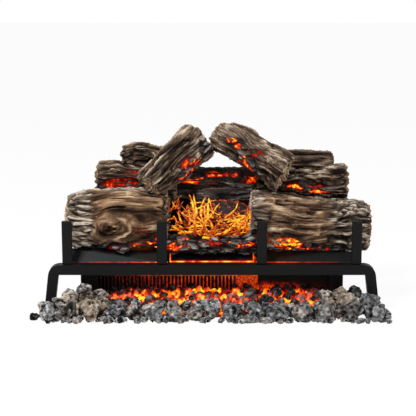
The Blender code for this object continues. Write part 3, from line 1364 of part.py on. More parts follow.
def make_rock_heap(name, seed, low, high):
    """A heap of lumps on a low core between two floor corners, flat where it lies on the floor."""
    chance = random.Random(seed)
    radius = ROCK_SIZE / 2
    step = ROCK_SIZE * ROCK_STEP_SHARE
    across = max(2, math.ceil((high[0] - low[0] - ROCK_SIZE) / step) + 1)
    deep = max(1, math.ceil((high[1] - low[1] - ROCK_SIZE) / step - ROCK_SPARE_ROW_SHARE) + 1)
    jitter = radius * ROCK_JITTER_SHARE
    spots = []
    rows = [high[1] - radius]
    if deep > 1:
        rows = row_places(low[1], high[1], deep, radius, chance, jitter)
    for y in rows:
        for x in row_places(low[0], high[0], across, radius, chance, jitter):
            lift = radius * chance.uniform(*ROCK_LIFT_SHARES)
            spots.append((Vector((x, y, lift)), radius))
    small = radius * SMALL_ROCK_SHARE
    hollows = [(near + far) / 2 for near, far in zip(rows, rows[1:])] or rows
    for y in hollows:
        for index in range(1, across):
            share = (index - 0.5) / (across - 1)
            x = low[0] + radius + (high[0] - low[0] - 2 * radius) * share
            spots.append((Vector((x, y, radius * SMALL_ROCK_LIFT_SHARE)), small))
    heap = add_object(name, rock_mesh(name, chance, *spots[0]), "lava_rock")
    for middle, size in spots[1:]:
        join(heap, add_object("lump", rock_mesh("lump", chance, middle, size)))
    inset = radius * HEAP_CORE_INSET_SHARE
    join_block(heap, (low[0] + inset, rows[0] - radius + inset, -radius),
               (high[0] - inset, high[1] - inset, radius * HEAP_CORE_HEIGHT_SHARE))
    cut_block(heap, (low[0] - CUT_OVERRUN, low[1] - CUT_OVERRUN, -ROCK_SIZE),
              (high[0] + CUT_OVERRUN, high[1] + CUT_OVERRUN, 0))
    return heap


def make_rocks():
    """Two heaps at each side and four along the front of the ember bed."""
    edge = BED_WIDTH / 2 + ROCK_GAP
    outer = OVERALL_WIDTH / 2
    split = RAIL_SPAN / 2 - GRATE_BAR / 2 - ROCK_GAP
    side_rear = BASE_FRONT_Y - ROCK_SIZE * REAR_ROCK_INSET_SHARE
    leg_front = GRATE_Y - GRATE_BAR / 2 - ROCK_GAP
    front_rear = BED_FRONT_Y - ROCK_GAP
    make_rock_heap("rocks_left_end", 11, (-outer, FRONT_Y), (-split - ROCK_GAP, leg_front))
    make_rock_heap("rocks_left", 12, (-split, FRONT_Y), (-edge, side_rear))
    make_rock_heap("rocks_right", 13, (edge, FRONT_Y), (split, side_rear))
    make_rock_heap("rocks_right_end", 14, (split + ROCK_GAP, FRONT_Y), (outer, leg_front))
    quarter = BED_WIDTH / 4
    for index, side in enumerate(("far_left", "middle_left", "middle_right", "far_right")):
        left = -BED_WIDTH / 2 + index * quarter
        make_rock_heap("rocks_front_" + side, 21 + index, (left, FRONT_Y),
                       (left + quarter - ROCK_GAP, front_rear))


def make_base():
    make_base_pan()
    make_side_panel("side_panel_left", -1)
    cut_rocker_opening(make_side_panel("side_panel_right", 1))
    make_rear_panel()
    make_cord_gland()
    make_top_deck()
    make_outlet_grille()
    make_light_panel()
    make_blank_panel()
    make_receiver_window()
    make_aprons()


def make_grate():
    make_grate_rail()
    make_uprights()
    make_tie("grate_tie_left", -TIE_X)
    make_tie("grate_tie_right", TIE_X)


def make_heater():
    make_fan_housing()
    make_fan_wheel()
    make_fan_motor()
    make_air_duct()
    make_heating_element()
    make_thermal_cutout()
    make_control_board()
    make_light_driver()
    make_power_rocker()
    make_rocker_bezel()


def make_lights():
    make_projector_housing()
    make_flame_window()
    make_flame_spindle()
    make_spindle_bush()
    make_spindle_motor()
    flame_y = PROJECTOR_FRONT_Y + PROJECTOR_WALL + FLAME_BOARD_DEPTH
    make_light_board("flame_light_board", (0, flame_y, BASE_TOP + CLEARANCE), FLAME_BOARD_LENGTH,
                     FLAME_BOARD_DEPTH)
    make_light_board("log_light_board", (0, LOG_BOARD_Y, BASE_TOP + CLEARANCE), LOG_BOARD_LENGTH,
                     LOG_BOARD_DEPTH)
    ember_z = EMBER_CHANNEL_HEIGHT - CLEARANCE - LED_HEIGHT - CIRCUIT_BOARD_THICKNESS
    make_light_board("ember_light_board", (0, BED_MIDDLE_Y, ember_z), EMBER_BOARD_LENGTH,
                     EMBER_BOARD_DEPTH)


def main():
    make_materials()
    make_base()
    make_grate()
    make_heater()
    make_lights()
    neighbours = make_logs()
    make_ember_nest(neighbours)
    make_ember_bed()
    make_rocks()
    bpy.context.view_layer.update()


main()
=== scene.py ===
# %% [markdown]
# # Electric fireplace log set
# This lesson dresses a finished steel and resin model of an electric log set. The model comes from a
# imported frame: every sheet, bar and solid log is there already, in metres, at its real place. What is
# left to make is what the eye reads first: bark, char, glowing cracks, porous stone and black paint.
# Moulded logs like these are cast from real wood, so their surface is real relief and not a print.
# For that reason the relief is cut into dense meshes, and shaders only add what is finer than a
# millimetre or so.

# %% Load the frame
import math
import random

import bmesh
import bpy
import numpy as np
from mathutils import Matrix, Vector


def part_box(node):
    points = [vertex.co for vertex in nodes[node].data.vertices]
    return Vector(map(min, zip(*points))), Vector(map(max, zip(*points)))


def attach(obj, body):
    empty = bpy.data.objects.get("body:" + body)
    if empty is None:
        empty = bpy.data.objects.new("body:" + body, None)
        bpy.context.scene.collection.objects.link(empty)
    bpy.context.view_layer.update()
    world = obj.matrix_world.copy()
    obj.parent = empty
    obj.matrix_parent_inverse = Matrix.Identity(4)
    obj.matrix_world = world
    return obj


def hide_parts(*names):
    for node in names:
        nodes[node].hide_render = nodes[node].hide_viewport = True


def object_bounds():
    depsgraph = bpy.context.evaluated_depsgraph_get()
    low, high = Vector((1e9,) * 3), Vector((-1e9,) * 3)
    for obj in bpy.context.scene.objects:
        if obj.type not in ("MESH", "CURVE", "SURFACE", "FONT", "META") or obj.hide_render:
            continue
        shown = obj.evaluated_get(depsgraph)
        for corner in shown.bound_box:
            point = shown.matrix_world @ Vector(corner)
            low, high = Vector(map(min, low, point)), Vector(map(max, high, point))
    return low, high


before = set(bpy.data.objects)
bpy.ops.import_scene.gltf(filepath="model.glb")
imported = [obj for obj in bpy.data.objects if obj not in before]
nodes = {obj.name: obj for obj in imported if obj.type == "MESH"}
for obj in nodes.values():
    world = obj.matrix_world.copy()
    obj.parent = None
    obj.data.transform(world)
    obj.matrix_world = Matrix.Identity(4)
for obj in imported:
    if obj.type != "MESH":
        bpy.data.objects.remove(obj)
cad_low, cad_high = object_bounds()
print("nodes:", len(nodes), "size:", [round(v, 3) for v in cad_high - cad_low])

# %% [markdown]
# ## Camera
# The photograph looks straight at the front from a little above, with a long lens. The camera's aim,
# tilt and distance are set first, because later cells place marks such as a knot by where it
# lies in the picture. One function turns a point in space into a place in the 416 pixel picture.

# %% Camera at the photograph's angle
CAMERA_AIM = Vector((-0.0074, -0.072, 0.200))
CAMERA_TILT = math.radians(12)
CAMERA_DISTANCE = 2.4
LENS_MM = 111.7
SENSOR_MM = 36.0
PICTURE_PIXELS = 416


def add_object(name, data):
    """An object in the scene that shows this camera, lamp or mesh."""
    item = bpy.data.objects.new(name, data)
    bpy.context.scene.collection.objects.link(item)
    return item


camera = add_object("camera", bpy.data.cameras.new("camera"))
camera.data.lens = LENS_MM
camera.data.sensor_width = SENSOR_MM
camera.data.clip_end = 20
backwards = Vector((0, -math.cos(CAMERA_TILT), math.sin(CAMERA_TILT)))
camera.location = CAMERA_AIM + CAMERA_DISTANCE * backwards
camera.rotation_euler = (math.pi / 2 - CAMERA_TILT, 0, 0)
bpy.context.scene.camera = camera


def picture_place(points):
    """Where points fall in the 416 pixel picture, as columns x and y."""
    offset = points - np.array(camera.location)
    sine = math.sin(CAMERA_TILT)
    cosine = math.cos(CAMERA_TILT)
    depth = offset[:, 1] * cosine - offset[:, 2] * sine
    rise = offset[:, 1] * sine + offset[:, 2] * cosine
    pixels = PICTURE_PIXELS * LENS_MM / SENSOR_MM
    return np.stack([PICTURE_PIXELS / 2 + pixels * offset[:, 0] / depth,
                     PICTURE_PIXELS / 2 - pixels * rise / depth], axis=1)


print("camera looks down by", round(math.degrees(CAMERA_TILT)), "degrees")

# %% [markdown]
# ## Pale floor and soft light
# A studio sweep gives a product picture its white ground. The floor keeps a real shadow, so the set
# stands on something. The world is white to the camera and in reflections, and lights the set evenly
# from all round. One large soft lamp above the camera then shapes the relief, and a second one fills.

# %% Colours and shader nodes
def srgb(code):
    """A hex colour as linear red, green and blue."""
    values = [int(code[index:index + 2], 16) / 255 for index in (1, 3, 5)]
    return [v / 12.92 if v <= 0.04045 else ((v + 0.055) / 1.055) ** 2.4 for v in values]


def fill_inputs(tree, node, **links):
    """Sets or links inputs by name, with _ for a space, or by number as n0, n1 and so on."""
    for key, value in links.items():
        by_number = key[0] == "n" and key[1:].isdigit()
        socket = node.inputs[int(key[1:]) if by_number else key.replace("_", " ")]
        if isinstance(value, bpy.types.Node):
            value = value.outputs[0]
        if isinstance(value, bpy.types.NodeSocket):
            tree.links.new(value, socket)
        else:
            socket.default_value = (*srgb(value), 1.0) if isinstance(value, str) else value


def add_node(tree, kind, settings=None, **links):
    """Adds a shader node; settings go to its properties, and links to its inputs by name."""
    node = tree.nodes.new("ShaderNode" + kind)
    for key, value in (settings or {}).items():
        if key == "stops":
            stops = node.color_ramp.elements
            for place, code in value:
                at_end = place in (0.0, 1.0)
                stop = stops[-1 if place else 0] if at_end else stops.new(place)
                stop.color = (*srgb(code), 1.0)
        else:
            setattr(node, key, value)
    fill_inputs(tree, node, **links)
    return node


ADD = {"operation": "ADD", "use_clamp": True}
MULTIPLY = {"operation": "MULTIPLY", "use_clamp": True}
MULTIPLY_ADD = {"operation": "MULTIPLY_ADD"}
MAXIMUM = {"operation": "MAXIMUM"}


def shows_background(tree):
    """1 for rays from the camera, off gloss or through glass, and 0 for rays that only light."""
    rays = add_node(tree, "LightPath").outputs
    direct = add_node(tree, "Math", MAXIMUM, n0=rays["Is Camera Ray"], n1=rays["Is Transmission Ray"])
    return add_node(tree, "Math", MAXIMUM, n0=direct, n1=rays["Is Glossy Ray"])


print("grey #808080 is", round(srgb("#808080")[0], 3), "in linear light")

# %% Floor
FLOOR_COLOUR = "#f4f3f1"
FLOOR_LIFT = 0.93
FLOOR_REACH = 8.0

floor_finish = bpy.data.materials.new("floor_matt_paint")
floor_finish.use_nodes = True
tree = floor_finish.node_tree
tree.nodes.clear()
diffuse = add_node(tree, "BsdfDiffuse", Color=FLOOR_COLOUR)
white = add_node(tree, "Emission", Color="#ffffff", Strength=1.0)
lifted = add_node(tree, "MixShader", Fac=FLOOR_LIFT, n1=diffuse, n2=white)
picked = add_node(tree, "MixShader", Fac=shows_background(tree), n1=diffuse, n2=lifted)
add_node(tree, "OutputMaterial", Surface=picked)

floor_mesh = bpy.data.meshes.new("floor")
floor_build = bmesh.new()
bmesh.ops.create_grid(floor_build, x_segments=1, y_segments=1, size=FLOOR_REACH)
floor_build.to_mesh(floor_mesh)
floor_build.free()
floor_mesh.materials.append(floor_finish)
add_object("floor", floor_mesh)
print("floor reaches", FLOOR_REACH, "m each way")

# %% World and lamps
WORLD_LIGHT = 0.50
KEY_LAMP = ("key_lamp", (-0.9, -1.1, 2.1), 0.5, 60)
FILL_LAMP = ("fill_lamp", (1.5, -1.2, 1.1), 1.2, 12)

world = bpy.data.worlds.new("white_studio")
bpy.context.scene.world = world
world.use_nodes = True
tree = world.node_tree
tree.nodes.clear()
dim = add_node(tree, "Background", Color="#ffffff", Strength=WORLD_LIGHT)
full = add_node(tree, "Background", Color="#ffffff", Strength=1.0)
sky = add_node(tree, "MixShader", Fac=shows_background(tree), n1=dim, n2=full)
add_node(tree, "OutputWorld", Surface=sky)


def soft_lamp(name, place, size, watts):
    """A square soft box that faces the middle of the set."""
    lamp = add_object(name, bpy.data.lights.new(name, "AREA"))
    lamp.data.shape = "SQUARE"
    lamp.data.size = size
    lamp.data.energy = watts
    lamp.location = place
    lamp.rotation_euler = (CAMERA_AIM - Vector(place)).to_track_quat("-Z", "Y").to_euler()


soft_lamp(*KEY_LAMP)
soft_lamp(*FILL_LAMP)
bpy.context.scene.view_settings.view_transform = "Standard"
print("world light", WORLD_LIGHT, "and two soft lamps")

# %% [markdown]
# ## Noise that can be cut into a mesh
# A shader's noise only changes what light does. To carve bark, the same kind of noise is needed as
# numbers for each vertex. Value noise puts a random number at each corner of a grid of cubes and
# blends between them. Cell noise measures how far a point lies from the nearest of many scattered
# seeds. Its two nearest distances give plates with cracks between them. Numpy works on all
# the vertices at once, so a log takes a moment rather than minutes.

# %% Value noise
def lattice_random(cells, seed):
    """A repeatable random number from 0 to 1 for each whole-number cell; large odd factors mix it."""
    mixed = (cells[:, 0] * 374761393 + cells[:, 1] * 668265263 + cells[:, 2] * 1440662683
             + seed * 974634777) & 0xFFFFFFFF
    mixed = ((mixed ^ (mixed >> 13)) * 1274126177) & 0xFFFFFFFF
    mixed = ((mixed ^ (mixed >> 15)) * 2246822519) & 0xFFFFFFFF
    return ((mixed ^ (mixed >> 16)) & 0xFFFFFF) / 0xFFFFFF


def value_noise(points, seed=0):
    """Smooth noise from 0 to 1, one cell to a unit."""
    base = np.floor(points).astype(np.int64)
    part = points - base
    part = part ** 3 * (part * (part * 6 - 15) + 10)
    total = np.zeros(len(points))
    for corner in np.ndindex(2, 2, 2):
        weight = np.ones(len(points))
        for axis in range(3):
            weight *= part[:, axis] if corner[axis] else 1 - part[:, axis]
        total += weight * lattice_random(base + np.array(corner), seed)
    return total


def layered_noise(points, seed=0, layers=4, offset=17.3, fold=None):
    """Value noise in layers, each half as large and half as strong as the last."""
    total = np.zeros(len(points))
    strength = 0.5
    reach = 0.0
    for layer in range(layers):
        noise = value_noise(points * 2 ** layer + offset * layer, seed + layer)
        total += strength * (fold(noise) if fold else noise)
        reach += strength
        strength /= 2
    return total / reach


def ridged_noise(points, seed=0, layers=3):
    """Noise folded about its middle: 1 on narrow crests, towards 0 between them."""
    return layered_noise(points, seed, layers, 9.1, lambda noise: (1 - np.abs(2 * noise - 1)) ** 2)


sample = value_noise(np.random.default_rng(1).uniform(0, 9, (1000, 3)))
print("noise runs from", round(sample.min(), 2), "to", round(sample.max(), 2))


# %% Cell noise, soft steps and blends
def cell_noise(points, seed=0):
    """Distances to the nearest and second nearest scattered seed, and a number for the nearest."""
    base = np.floor(points).astype(np.int64)
    nearest = np.full(len(points), 9.0)
    second = np.full(len(points), 9.0)
    owner = np.zeros(len(points))
    for corner in np.ndindex(3, 3, 3):
        cell = base + np.array(corner) - 1
        seeds = np.stack([lattice_random(cell, seed + axis + 1) for axis in range(3)], axis=1)
        distance = np.linalg.norm(cell + seeds - points, axis=1)
        closer = distance < nearest
        second = np.where(closer, nearest, np.minimum(second, distance))
        owner = np.where(closer, lattice_random(cell, seed + 7), owner)
        nearest = np.where(closer, distance, nearest)
    return nearest, second, owner


def smooth_step(values, low, high):
    """0 below low, 1 above high and a soft ramp between them."""
    part = np.clip((values - low) / (high - low), 0, 1)
    return part * part * (3 - 2 * part)


def blend(first, second, share):
    """The first where the share is 0 and the second where it is 1."""
    return first * (1 - share) + second * share


print("half way up a soft step:", smooth_step(0.5, 0, 1))

# %% [markdown]
# ## The painted log finish
# The real logs are cast in rigid resin or ceramic fibre, stained and then dry brushed: thin dark paint
# runs into the grooves, and a nearly dry brush leaves pale paint on the crests only. So the colour
# follows the relief, and is partly that paint and partly painted shade in the grooves and painted
# highlight on the crests. Each vertex carries four numbers: tone from groove to crest, how far it is
# charred, how brown it is, and how hot it glows. Lamps inside the log shine through thin resin in the
# cracks, so the glow is drawn as light that the surface gives off. Its number is named glow, because
# Cycles keeps the name heat for smoke. Fine noise over one of the numbers stands for grain and grit.

# %% One finish for every log
# Real wood fibres are finer than this, but would not show in the picture.
GRAIN_FIBRE_MM = 1.1
CLOUD_MM = 22
FLECK_MM = 5.5
GLOW_COLOURS = [(0.0, "#000000"), (0.14, "#260200"), (0.34, "#a01400"), (0.55, "#f23c00"),
                (0.78, "#ff8c08"), (1.0, "#ffdc3c")]
# Ramps from groove to crest: stain and dry brushing, and painted shade and painted highlight.
LOG_COLOURS = {
    "grey": [(0.0, "#050404"), (0.26, "#1a1511"), (0.50, "#3e342c"), (0.74, "#6f6256"),
             (1.0, "#b8ac9d")],
    "brown": [(0.0, "#080403"), (0.28, "#24170e"), (0.52, "#553c29"), (0.76, "#8a6a4c"),
              (1.0, "#c0a37e")],
    "char": [(0.0, "#020202"), (0.3, "#0d0b0a"), (0.55, "#262120"), (0.8, "#4f4945"),
             (1.0, "#938e89")],
}
LOG_GLOW = 1.3
VERTEX_NUMBERS = ("tone", "char", "brown", "glow")


def new_finish(name):
    """A new material, its node tree, its shader and the piece's own coordinates in metres."""
    finish = bpy.data.materials.new(name)
    finish.use_nodes = True
    tree = finish.node_tree
    place = add_node(tree, "TexCoord").outputs["Object"]
    return finish, tree, tree.nodes["Principled BSDF"], place


def grainy_finish(name, number, grain_mm, roughness, spread):
    """A new finish with its vertices' numbers, a fine noise, and one number with that noise in it."""
    finish, tree, shader, place = new_finish(name)
    stored = {key: add_node(tree, "Attribute", {"attribute_name": key}).outputs["Fac"]
              for key in VERTEX_NUMBERS}
    grain = add_node(tree, "TexNoise", Vector=place, Scale=1000 / grain_mm, Detail=4.0,
                     Roughness=roughness)
    jitter = add_node(tree, "Math", MULTIPLY_ADD, n0=grain, n1=spread, n2=-spread / 2)
    level = add_node(tree, "Math", ADD, n0=stored[number], n1=jitter)
    return finish, tree, shader, place, stored, grain, level


def cast_log_finish():
    """Cast resin log: IOR 1.5, matt, stain and dry brushing with painted shade in the grooves and
    painted highlight on the crests.
    """
    finish, tree, shader, place, stored, grain, tone = grainy_finish(
        "cast_resin_dry_brushed_with_painted_shade", "tone", 2 * GRAIN_FIBRE_MM, 0.65, 0.40)
    colour = {key: add_node(tree, "ValToRGB", {"stops": stops}, Fac=tone)
              for key, stops in LOG_COLOURS.items()}
    cloud = add_node(tree, "TexNoise", Vector=place, Scale=1000 / CLOUD_MM, Detail=3.0)
    cloudy = add_node(tree, "Math", {**MULTIPLY_ADD, "use_clamp": True}, n0=cloud, n1=0.5,
                      n2=stored["brown"])
    brown = add_node(tree, "Math", {**ADD, "operation": "SUBTRACT"}, n0=cloudy, n1=0.25)
    wood = add_node(tree, "MixRGB", Fac=brown, Color1=colour["grey"], Color2=colour["brown"])
    burnt = add_node(tree, "MixRGB", Fac=stored["char"], Color1=wood, Color2=colour["char"])
    spark = add_node(tree, "TexNoise", Vector=place, Scale=1000 / FLECK_MM, Detail=5.0, Roughness=0.7)
    flecks = add_node(tree, "MapRange", Value=spark, n1=0.38, n2=0.62, n3=0.30, n4=1.25)
    hot = add_node(tree, "Math", MULTIPLY, n0=stored["glow"], n1=flecks)
    glow = add_node(tree, "ValToRGB", {"stops": GLOW_COLOURS}, Fac=hot)
    rough = add_node(tree, "MapRange", Value=stored["char"], n3=0.9, n4=0.62)
    relief = add_node(tree, "Bump", Height=grain, Strength=0.6, Distance=0.0011)
    fill_inputs(tree, shader, Base_Color=burnt, Roughness=rough, Normal=relief, Emission_Color=glow,
                Emission_Strength=LOG_GLOW, IOR=1.5, Specular_IOR_Level=0.07)
    return finish


log_finish = cast_log_finish()
print("finish:", log_finish.name)

# %% [markdown]
# ## A dense skin over each solid log
# The frame's logs are coarse solids with the right place and girth. A voxel remesh wraps each one in
# small even squares of about 1.5 mm, which is fine enough to cut furrows a few millimetres wide.
# Every log has its own axis, found as the direction in which its vertices spread the furthest.

# %% Dense copies and their vertices
LOG_VOXEL = 0.0015
BODY = "set"


def dense_copy(name, voxel):
    """A closed mesh of even squares round a frame node, with its facets smoothed away."""
    rough = add_object("rough_" + name, nodes[name].data.copy())
    rough.data.materials.clear()
    remesh = rough.modifiers.new("remesh", "REMESH")
    remesh.mode = "VOXEL"
    remesh.voxel_size = voxel
    smooth = rough.modifiers.new("smooth", "SMOOTH")
    smooth.factor = 0.6
    smooth.iterations = 6
    graph = bpy.context.evaluated_depsgraph_get()
    mesh = bpy.data.meshes.new_from_object(rough.evaluated_get(graph))
    mesh.name = name + "_skin"
    bpy.data.objects.remove(rough)
    return mesh


def read_vectors(mesh, what):
    """Positions ("co") or normals ("normal") of all vertices, one row each."""
    flat = np.empty(len(mesh.vertices) * 3, np.float32)
    mesh.vertices.foreach_get(what, flat)
    return flat.reshape(-1, 3).astype(float)


def write_shape(mesh, points, **numbers):
    """Moves the vertices and stores named numbers on them."""
    mesh.vertices.foreach_set("co", points.astype(np.float32).ravel())
    for name, values in numbers.items():
        column = mesh.attributes.new(name, "FLOAT", "POINT")
        column.data.foreach_set("value", np.clip(values, 0, 1).astype(np.float32))
    mesh.polygons.foreach_set("use_smooth", np.ones(len(mesh.polygons), bool))
    mesh.update()


def add_piece(name, mesh, finish, replaced=None):
    """A finished piece on the fixed body, in place of a frame node if one is named."""
    mesh.materials.clear()
    mesh.materials.append(finish)
    piece = add_object(name, mesh)
    if replaced:
        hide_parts(replaced)
    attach(piece, BODY)


print("voxel:", LOG_VOXEL * 1000, "mm")


# %% Places along a log and in the picture
def log_axis(points):
    """The direction in which the points spread the furthest, turned to the right."""
    along = np.linalg.svd(points - points.mean(axis=0), full_matrices=False)[2][0]
    return along if along[0] > 0 else -along


def along_log(points, along):
    """Each point in millimetres: along the log, towards the viewer and up, from its middle."""
    across = np.cross(along, (0, 0, 1))
    across /= np.linalg.norm(across)
    axes = np.stack([along, across, np.cross(across, along)], axis=1)
    return (points - points.mean(axis=0)) @ axes * 1000


def oval(spots, x, y, half_width, half_height):
    """1 inside an oval of the picture, and a soft edge that falls to 0."""
    reach = np.hypot((spots[:, 0] - x) / half_width, (spots[:, 1] - y) / half_height)
    return 1 - smooth_step(reach, 0.55, 1.15)


def marked(spots, marks):
    """The strongest of several ovals at each vertex; a fifth number scales its own oval."""
    total = np.zeros(len(spots))
    for x, y, half_width, half_height, *strength in marks:
        shade = oval(spots, x, y, half_width, half_height)
        total = np.maximum(total, shade * (strength or [1.0])[0])
    return total


corners = read_vectors(nodes["log_top_left"].data, "co")
print("the top left log leans along", log_axis(corners).round(2))

# %% [markdown]
# ## Four kinds of wood surface
# Old bark is long ridges that split and join, broken across by short cracks, with knobs in between.
# Split wood is straight fibre: many long grooves of unlike depth. Planed or weathered wood is the same
# with little depth. Charred wood shrinks into small blocks, like the skin of an alligator, with
# deep cracks where the fire still glows. Each recipe takes points in millimetres along the log, and
# gives its relief from 0 in the grooves to 1 on the crests. The sizes in the recipes are lengths
# along and across the grain in millimetres, and the factors say how much each noise adds.

# %% Relief recipes
def stretched(place, along_mm, across_mm):
    """Noise coordinates with cells that long and that wide."""
    return place / np.array([along_mm, across_mm, across_mm])


def bent(place, seed, amount_mm=5.0):
    """Shifts points sideways by slow noise, so that grain wanders."""
    slow = stretched(place, 55, 26)
    shift = np.stack([np.zeros(len(place)), value_noise(slow, seed + 40) - 0.5,
                      value_noise(slow, seed + 41) - 0.5], axis=1)
    return place + 2 * amount_mm * shift


def contrast(relief, amount=1.7):
    """Pushes relief away from its middle, for steeper sides and flatter crests."""
    return np.clip(0.5 + (relief - relief.mean()) * amount, -0.1, 1.15)


def old_bark(place, seed):
    wandering = bent(place, seed, 10)
    ridges = ridged_noise(stretched(wandering, 80, 8), seed, 3)
    plates = cell_noise(stretched(wandering, 60, 9), seed + 5)
    cracks = smooth_step(plates[1] - plates[0], 0.02, 0.26)
    rough = layered_noise(stretched(wandering, 13, 3.0), seed + 9, 4)
    return contrast(0.55 * ridges + 0.16 * cracks + 0.10 * plates[2] * cracks + 0.52 * rough)


def split_wood(place, seed):
    wandering = bent(place, seed, 6)
    broad = ridged_noise(stretched(wandering, 160, 15), seed, 2)
    fibre = ridged_noise(stretched(wandering, 90, 4.4), seed + 3, 3)
    fine = layered_noise(stretched(wandering, 30, 1.6), seed + 6, 2)
    knots = layered_noise(stretched(place, 30, 12), seed + 8, 3)
    return contrast(0.40 * broad + 0.48 * fibre + 0.36 * fine + 0.34 * knots)


def smooth_wood(place, seed):
    wandering = bent(place, seed, 8)
    broad = layered_noise(stretched(wandering, 70, 18), seed, 3)
    fibre = layered_noise(stretched(wandering, 34, 2.4), seed + 3, 3)
    checks = 1 - smooth_step(value_noise(stretched(wandering, 50, 3.4), seed + 5), 0.10, 0.26)
    return contrast(0.85 * broad + 0.45 * fibre - 0.42 * checks, 1.9)


def charred(place, seed):
    wandering = bent(place, seed, 9)
    blocks = cell_noise(stretched(wandering, 24, 11), seed + 2)
    cracks = smooth_step(blocks[1] - blocks[0], 0.02, 0.26)
    ridges = ridged_noise(stretched(wandering, 44, 8), seed + 6, 3)
    lumps = layered_noise(stretched(place, 13, 5), seed + 4, 4)
    return contrast(cracks * (0.06 + 0.34 * blocks[2]) + 0.46 * ridges + 0.44 * lumps) - 0.02


print("recipes: bark, split wood, smooth wood and char")

# %% [markdown]
# ## Where the logs are bare, burnt or glowing
# These marks are read off the photograph, as places in its 416 pixel frame. Each is projected onto the
# front of the log that shows there, and from then on it is part of that log's surface. A mark is x, y,
# half width, half height and, if it isn't 1, strength. In a glow mark the light comes out of the
# cracks, so it is strongest where the relief is low.

# %% Marks on the logs
GLOW_MARKS = {
    "log_front_left": [(143, 247, 17, 5.5, 0.98), (141, 232, 12, 5, 0.34), (118, 249, 12, 4, 0.35),
                       (160, 240, 9, 8, 0.45)],
    "log_front_right": [(284, 245, 19, 7.5, 1.5), (312, 251, 28, 3.5, 0.70), (281, 229, 15, 4, 0.26),
                        (263, 240, 10, 9, 0.45)],
    "log_center_char": [(178, 246, 15, 7, 0.62), (240, 244, 15, 5, 0.95), (212, 242, 18, 6, 0.4),
                        (176, 229, 10, 6, 0.6), (184, 237, 6, 4, 0.7)],
    "log_rear_left": [(120, 184, 27, 7, 0.33), (133, 173, 13, 9, 0.34), (108, 186, 8, 3, 0.44)],
    "log_rear_center": [(214, 176, 10, 7, 0.62), (200, 181, 22, 5, 0.66), (232, 174, 10, 4, 0.55),
                        (250, 178, 10, 8, 0.45)],
    "log_center_cross": [(215, 187, 28, 5, 0.22)],
    "log_top_left": [(191, 171, 13, 16, 0.55), (198, 161, 6, 6, 0.85), (187, 180, 9, 7, 0.66)],
    "log_top_right": [(231, 140, 7, 3.5, 0.85), (238, 147, 5, 4, 0.62), (255, 154, 14, 5, 0.34),
                      (243, 163, 7, 11, 0.70), (250, 175, 9, 9, 0.60), (258, 183, 8, 5, 0.42)],
    "log_rear_right": [(299, 187, 15, 2.8, 0.85), (319, 192, 13, 2.2, 0.70), (304, 188, 26, 6, 0.34)],
    "log_rear_right_upper": [(292, 181, 10, 4, 0.34)],
}
CHAR_MARKS = {
    "log_front_left": [(130, 250, 60, 9), (158, 245, 16, 10, 0.7), (167, 214, 6, 20, 0.45)],
    "log_front_right": [(300, 251, 80, 8), (262, 218, 12, 15, 0.45), (256, 238, 12, 10, 0.8)],
    "log_rear_left": [(120, 186, 32, 9, 0.8)],
    "log_top_left": [(193, 172, 17, 18, 0.85), (205, 146, 7, 14, 0.6)],
    "log_top_right": [(246, 169, 15, 21, 0.8), (234, 142, 12, 5, 0.7), (250, 153, 18, 5, 0.6)],
    "log_rear_right": [(304, 189, 34, 7, 0.8)],
}
print("glow marks:", sum(len(marks) for marks in GLOW_MARKS.values()))

# %% [markdown]
# ## Each log gets its surface
# The kind of wood says how deep a log is cut. Front left is the showpiece: bark at its left
# end, then a smooth face where the grain flows round a knot. Front right is long coarse grain with bark
# at the right. The two leaning logs on top are split wood, and those behind are old bark. Broken
# ends show growth rings and cracks, and are rough in the direction of the log, because wood tears
# along its fibres.

# %% Kinds of log
LOG_KINDS = {
    "log_front_left": "smooth",
    "log_front_right": "long_grain",
    "log_center_char": "char",
    "log_center_cross": "burnt_split",
    "log_rear_center": "burnt_split",
    "log_rear_left": "bark",
    "log_rear_right": "bark",
    "log_rear_left_upper": "bark",
    "log_rear_right_upper": "split",
    "log_top_left": "split",
    "log_top_right": "split",
}
RELIEF_MM = {"bark": 8.0, "split": 7.5, "burnt_split": 7.5, "long_grain": 6.375, "smooth": 6.0,
             "char": 8.0, "end": 4.0}

# %% Knot and broken ends
KNOT_PLACE = (111, 229)
KNOT_SIZE = (19, 12)
KNOT_RING_MM = 5.5
PIXEL_MM = 1.87
GROWTH_RING_MM = 6.5
TORN_DEPTH_MM = 15
TORN_REACH_MM = 22


def knot_grain(place, spots, seed):
    """Smooth grain that flows round a sunk knot like water round a stone, with a dark eye in it."""
    right = (spots[:, 0] - KNOT_PLACE[0]) / KNOT_SIZE[0]
    down = (spots[:, 1] - KNOT_PLACE[1]) / KNOT_SIZE[1]
    wobble = 0.9 * (layered_noise(stretched(place, 24, 15), seed + 50, 2) - 0.5)
    reach = np.hypot(right, down) + wobble
    near = 1 - smooth_step(reach, 0.7, 2.0)
    turn = np.arctan2(down, right)
    flow = np.stack([reach * KNOT_SIZE[1] * PIXEL_MM / KNOT_RING_MM, 1.3 * np.cos(turn),
                     1.3 * np.sin(turn)], axis=1)
    folds = layered_noise(flow, seed + 52, 3)
    hollow = np.exp(-((reach - 0.55) / 0.30) ** 2) * smooth_step(down + 0.4 * right, -0.6, 0.4)
    eye = 1 - smooth_step(np.hypot(right + 0.05, down * 1.5 - 0.1) + 0.6 * wobble, 0.10, 0.34)
    lip = np.exp(-((reach - 1.05) / 0.22) ** 2)
    return near, contrast(folds) * 0.75 + 0.22 + 0.22 * lip - 0.30 * hollow - 0.5 * eye


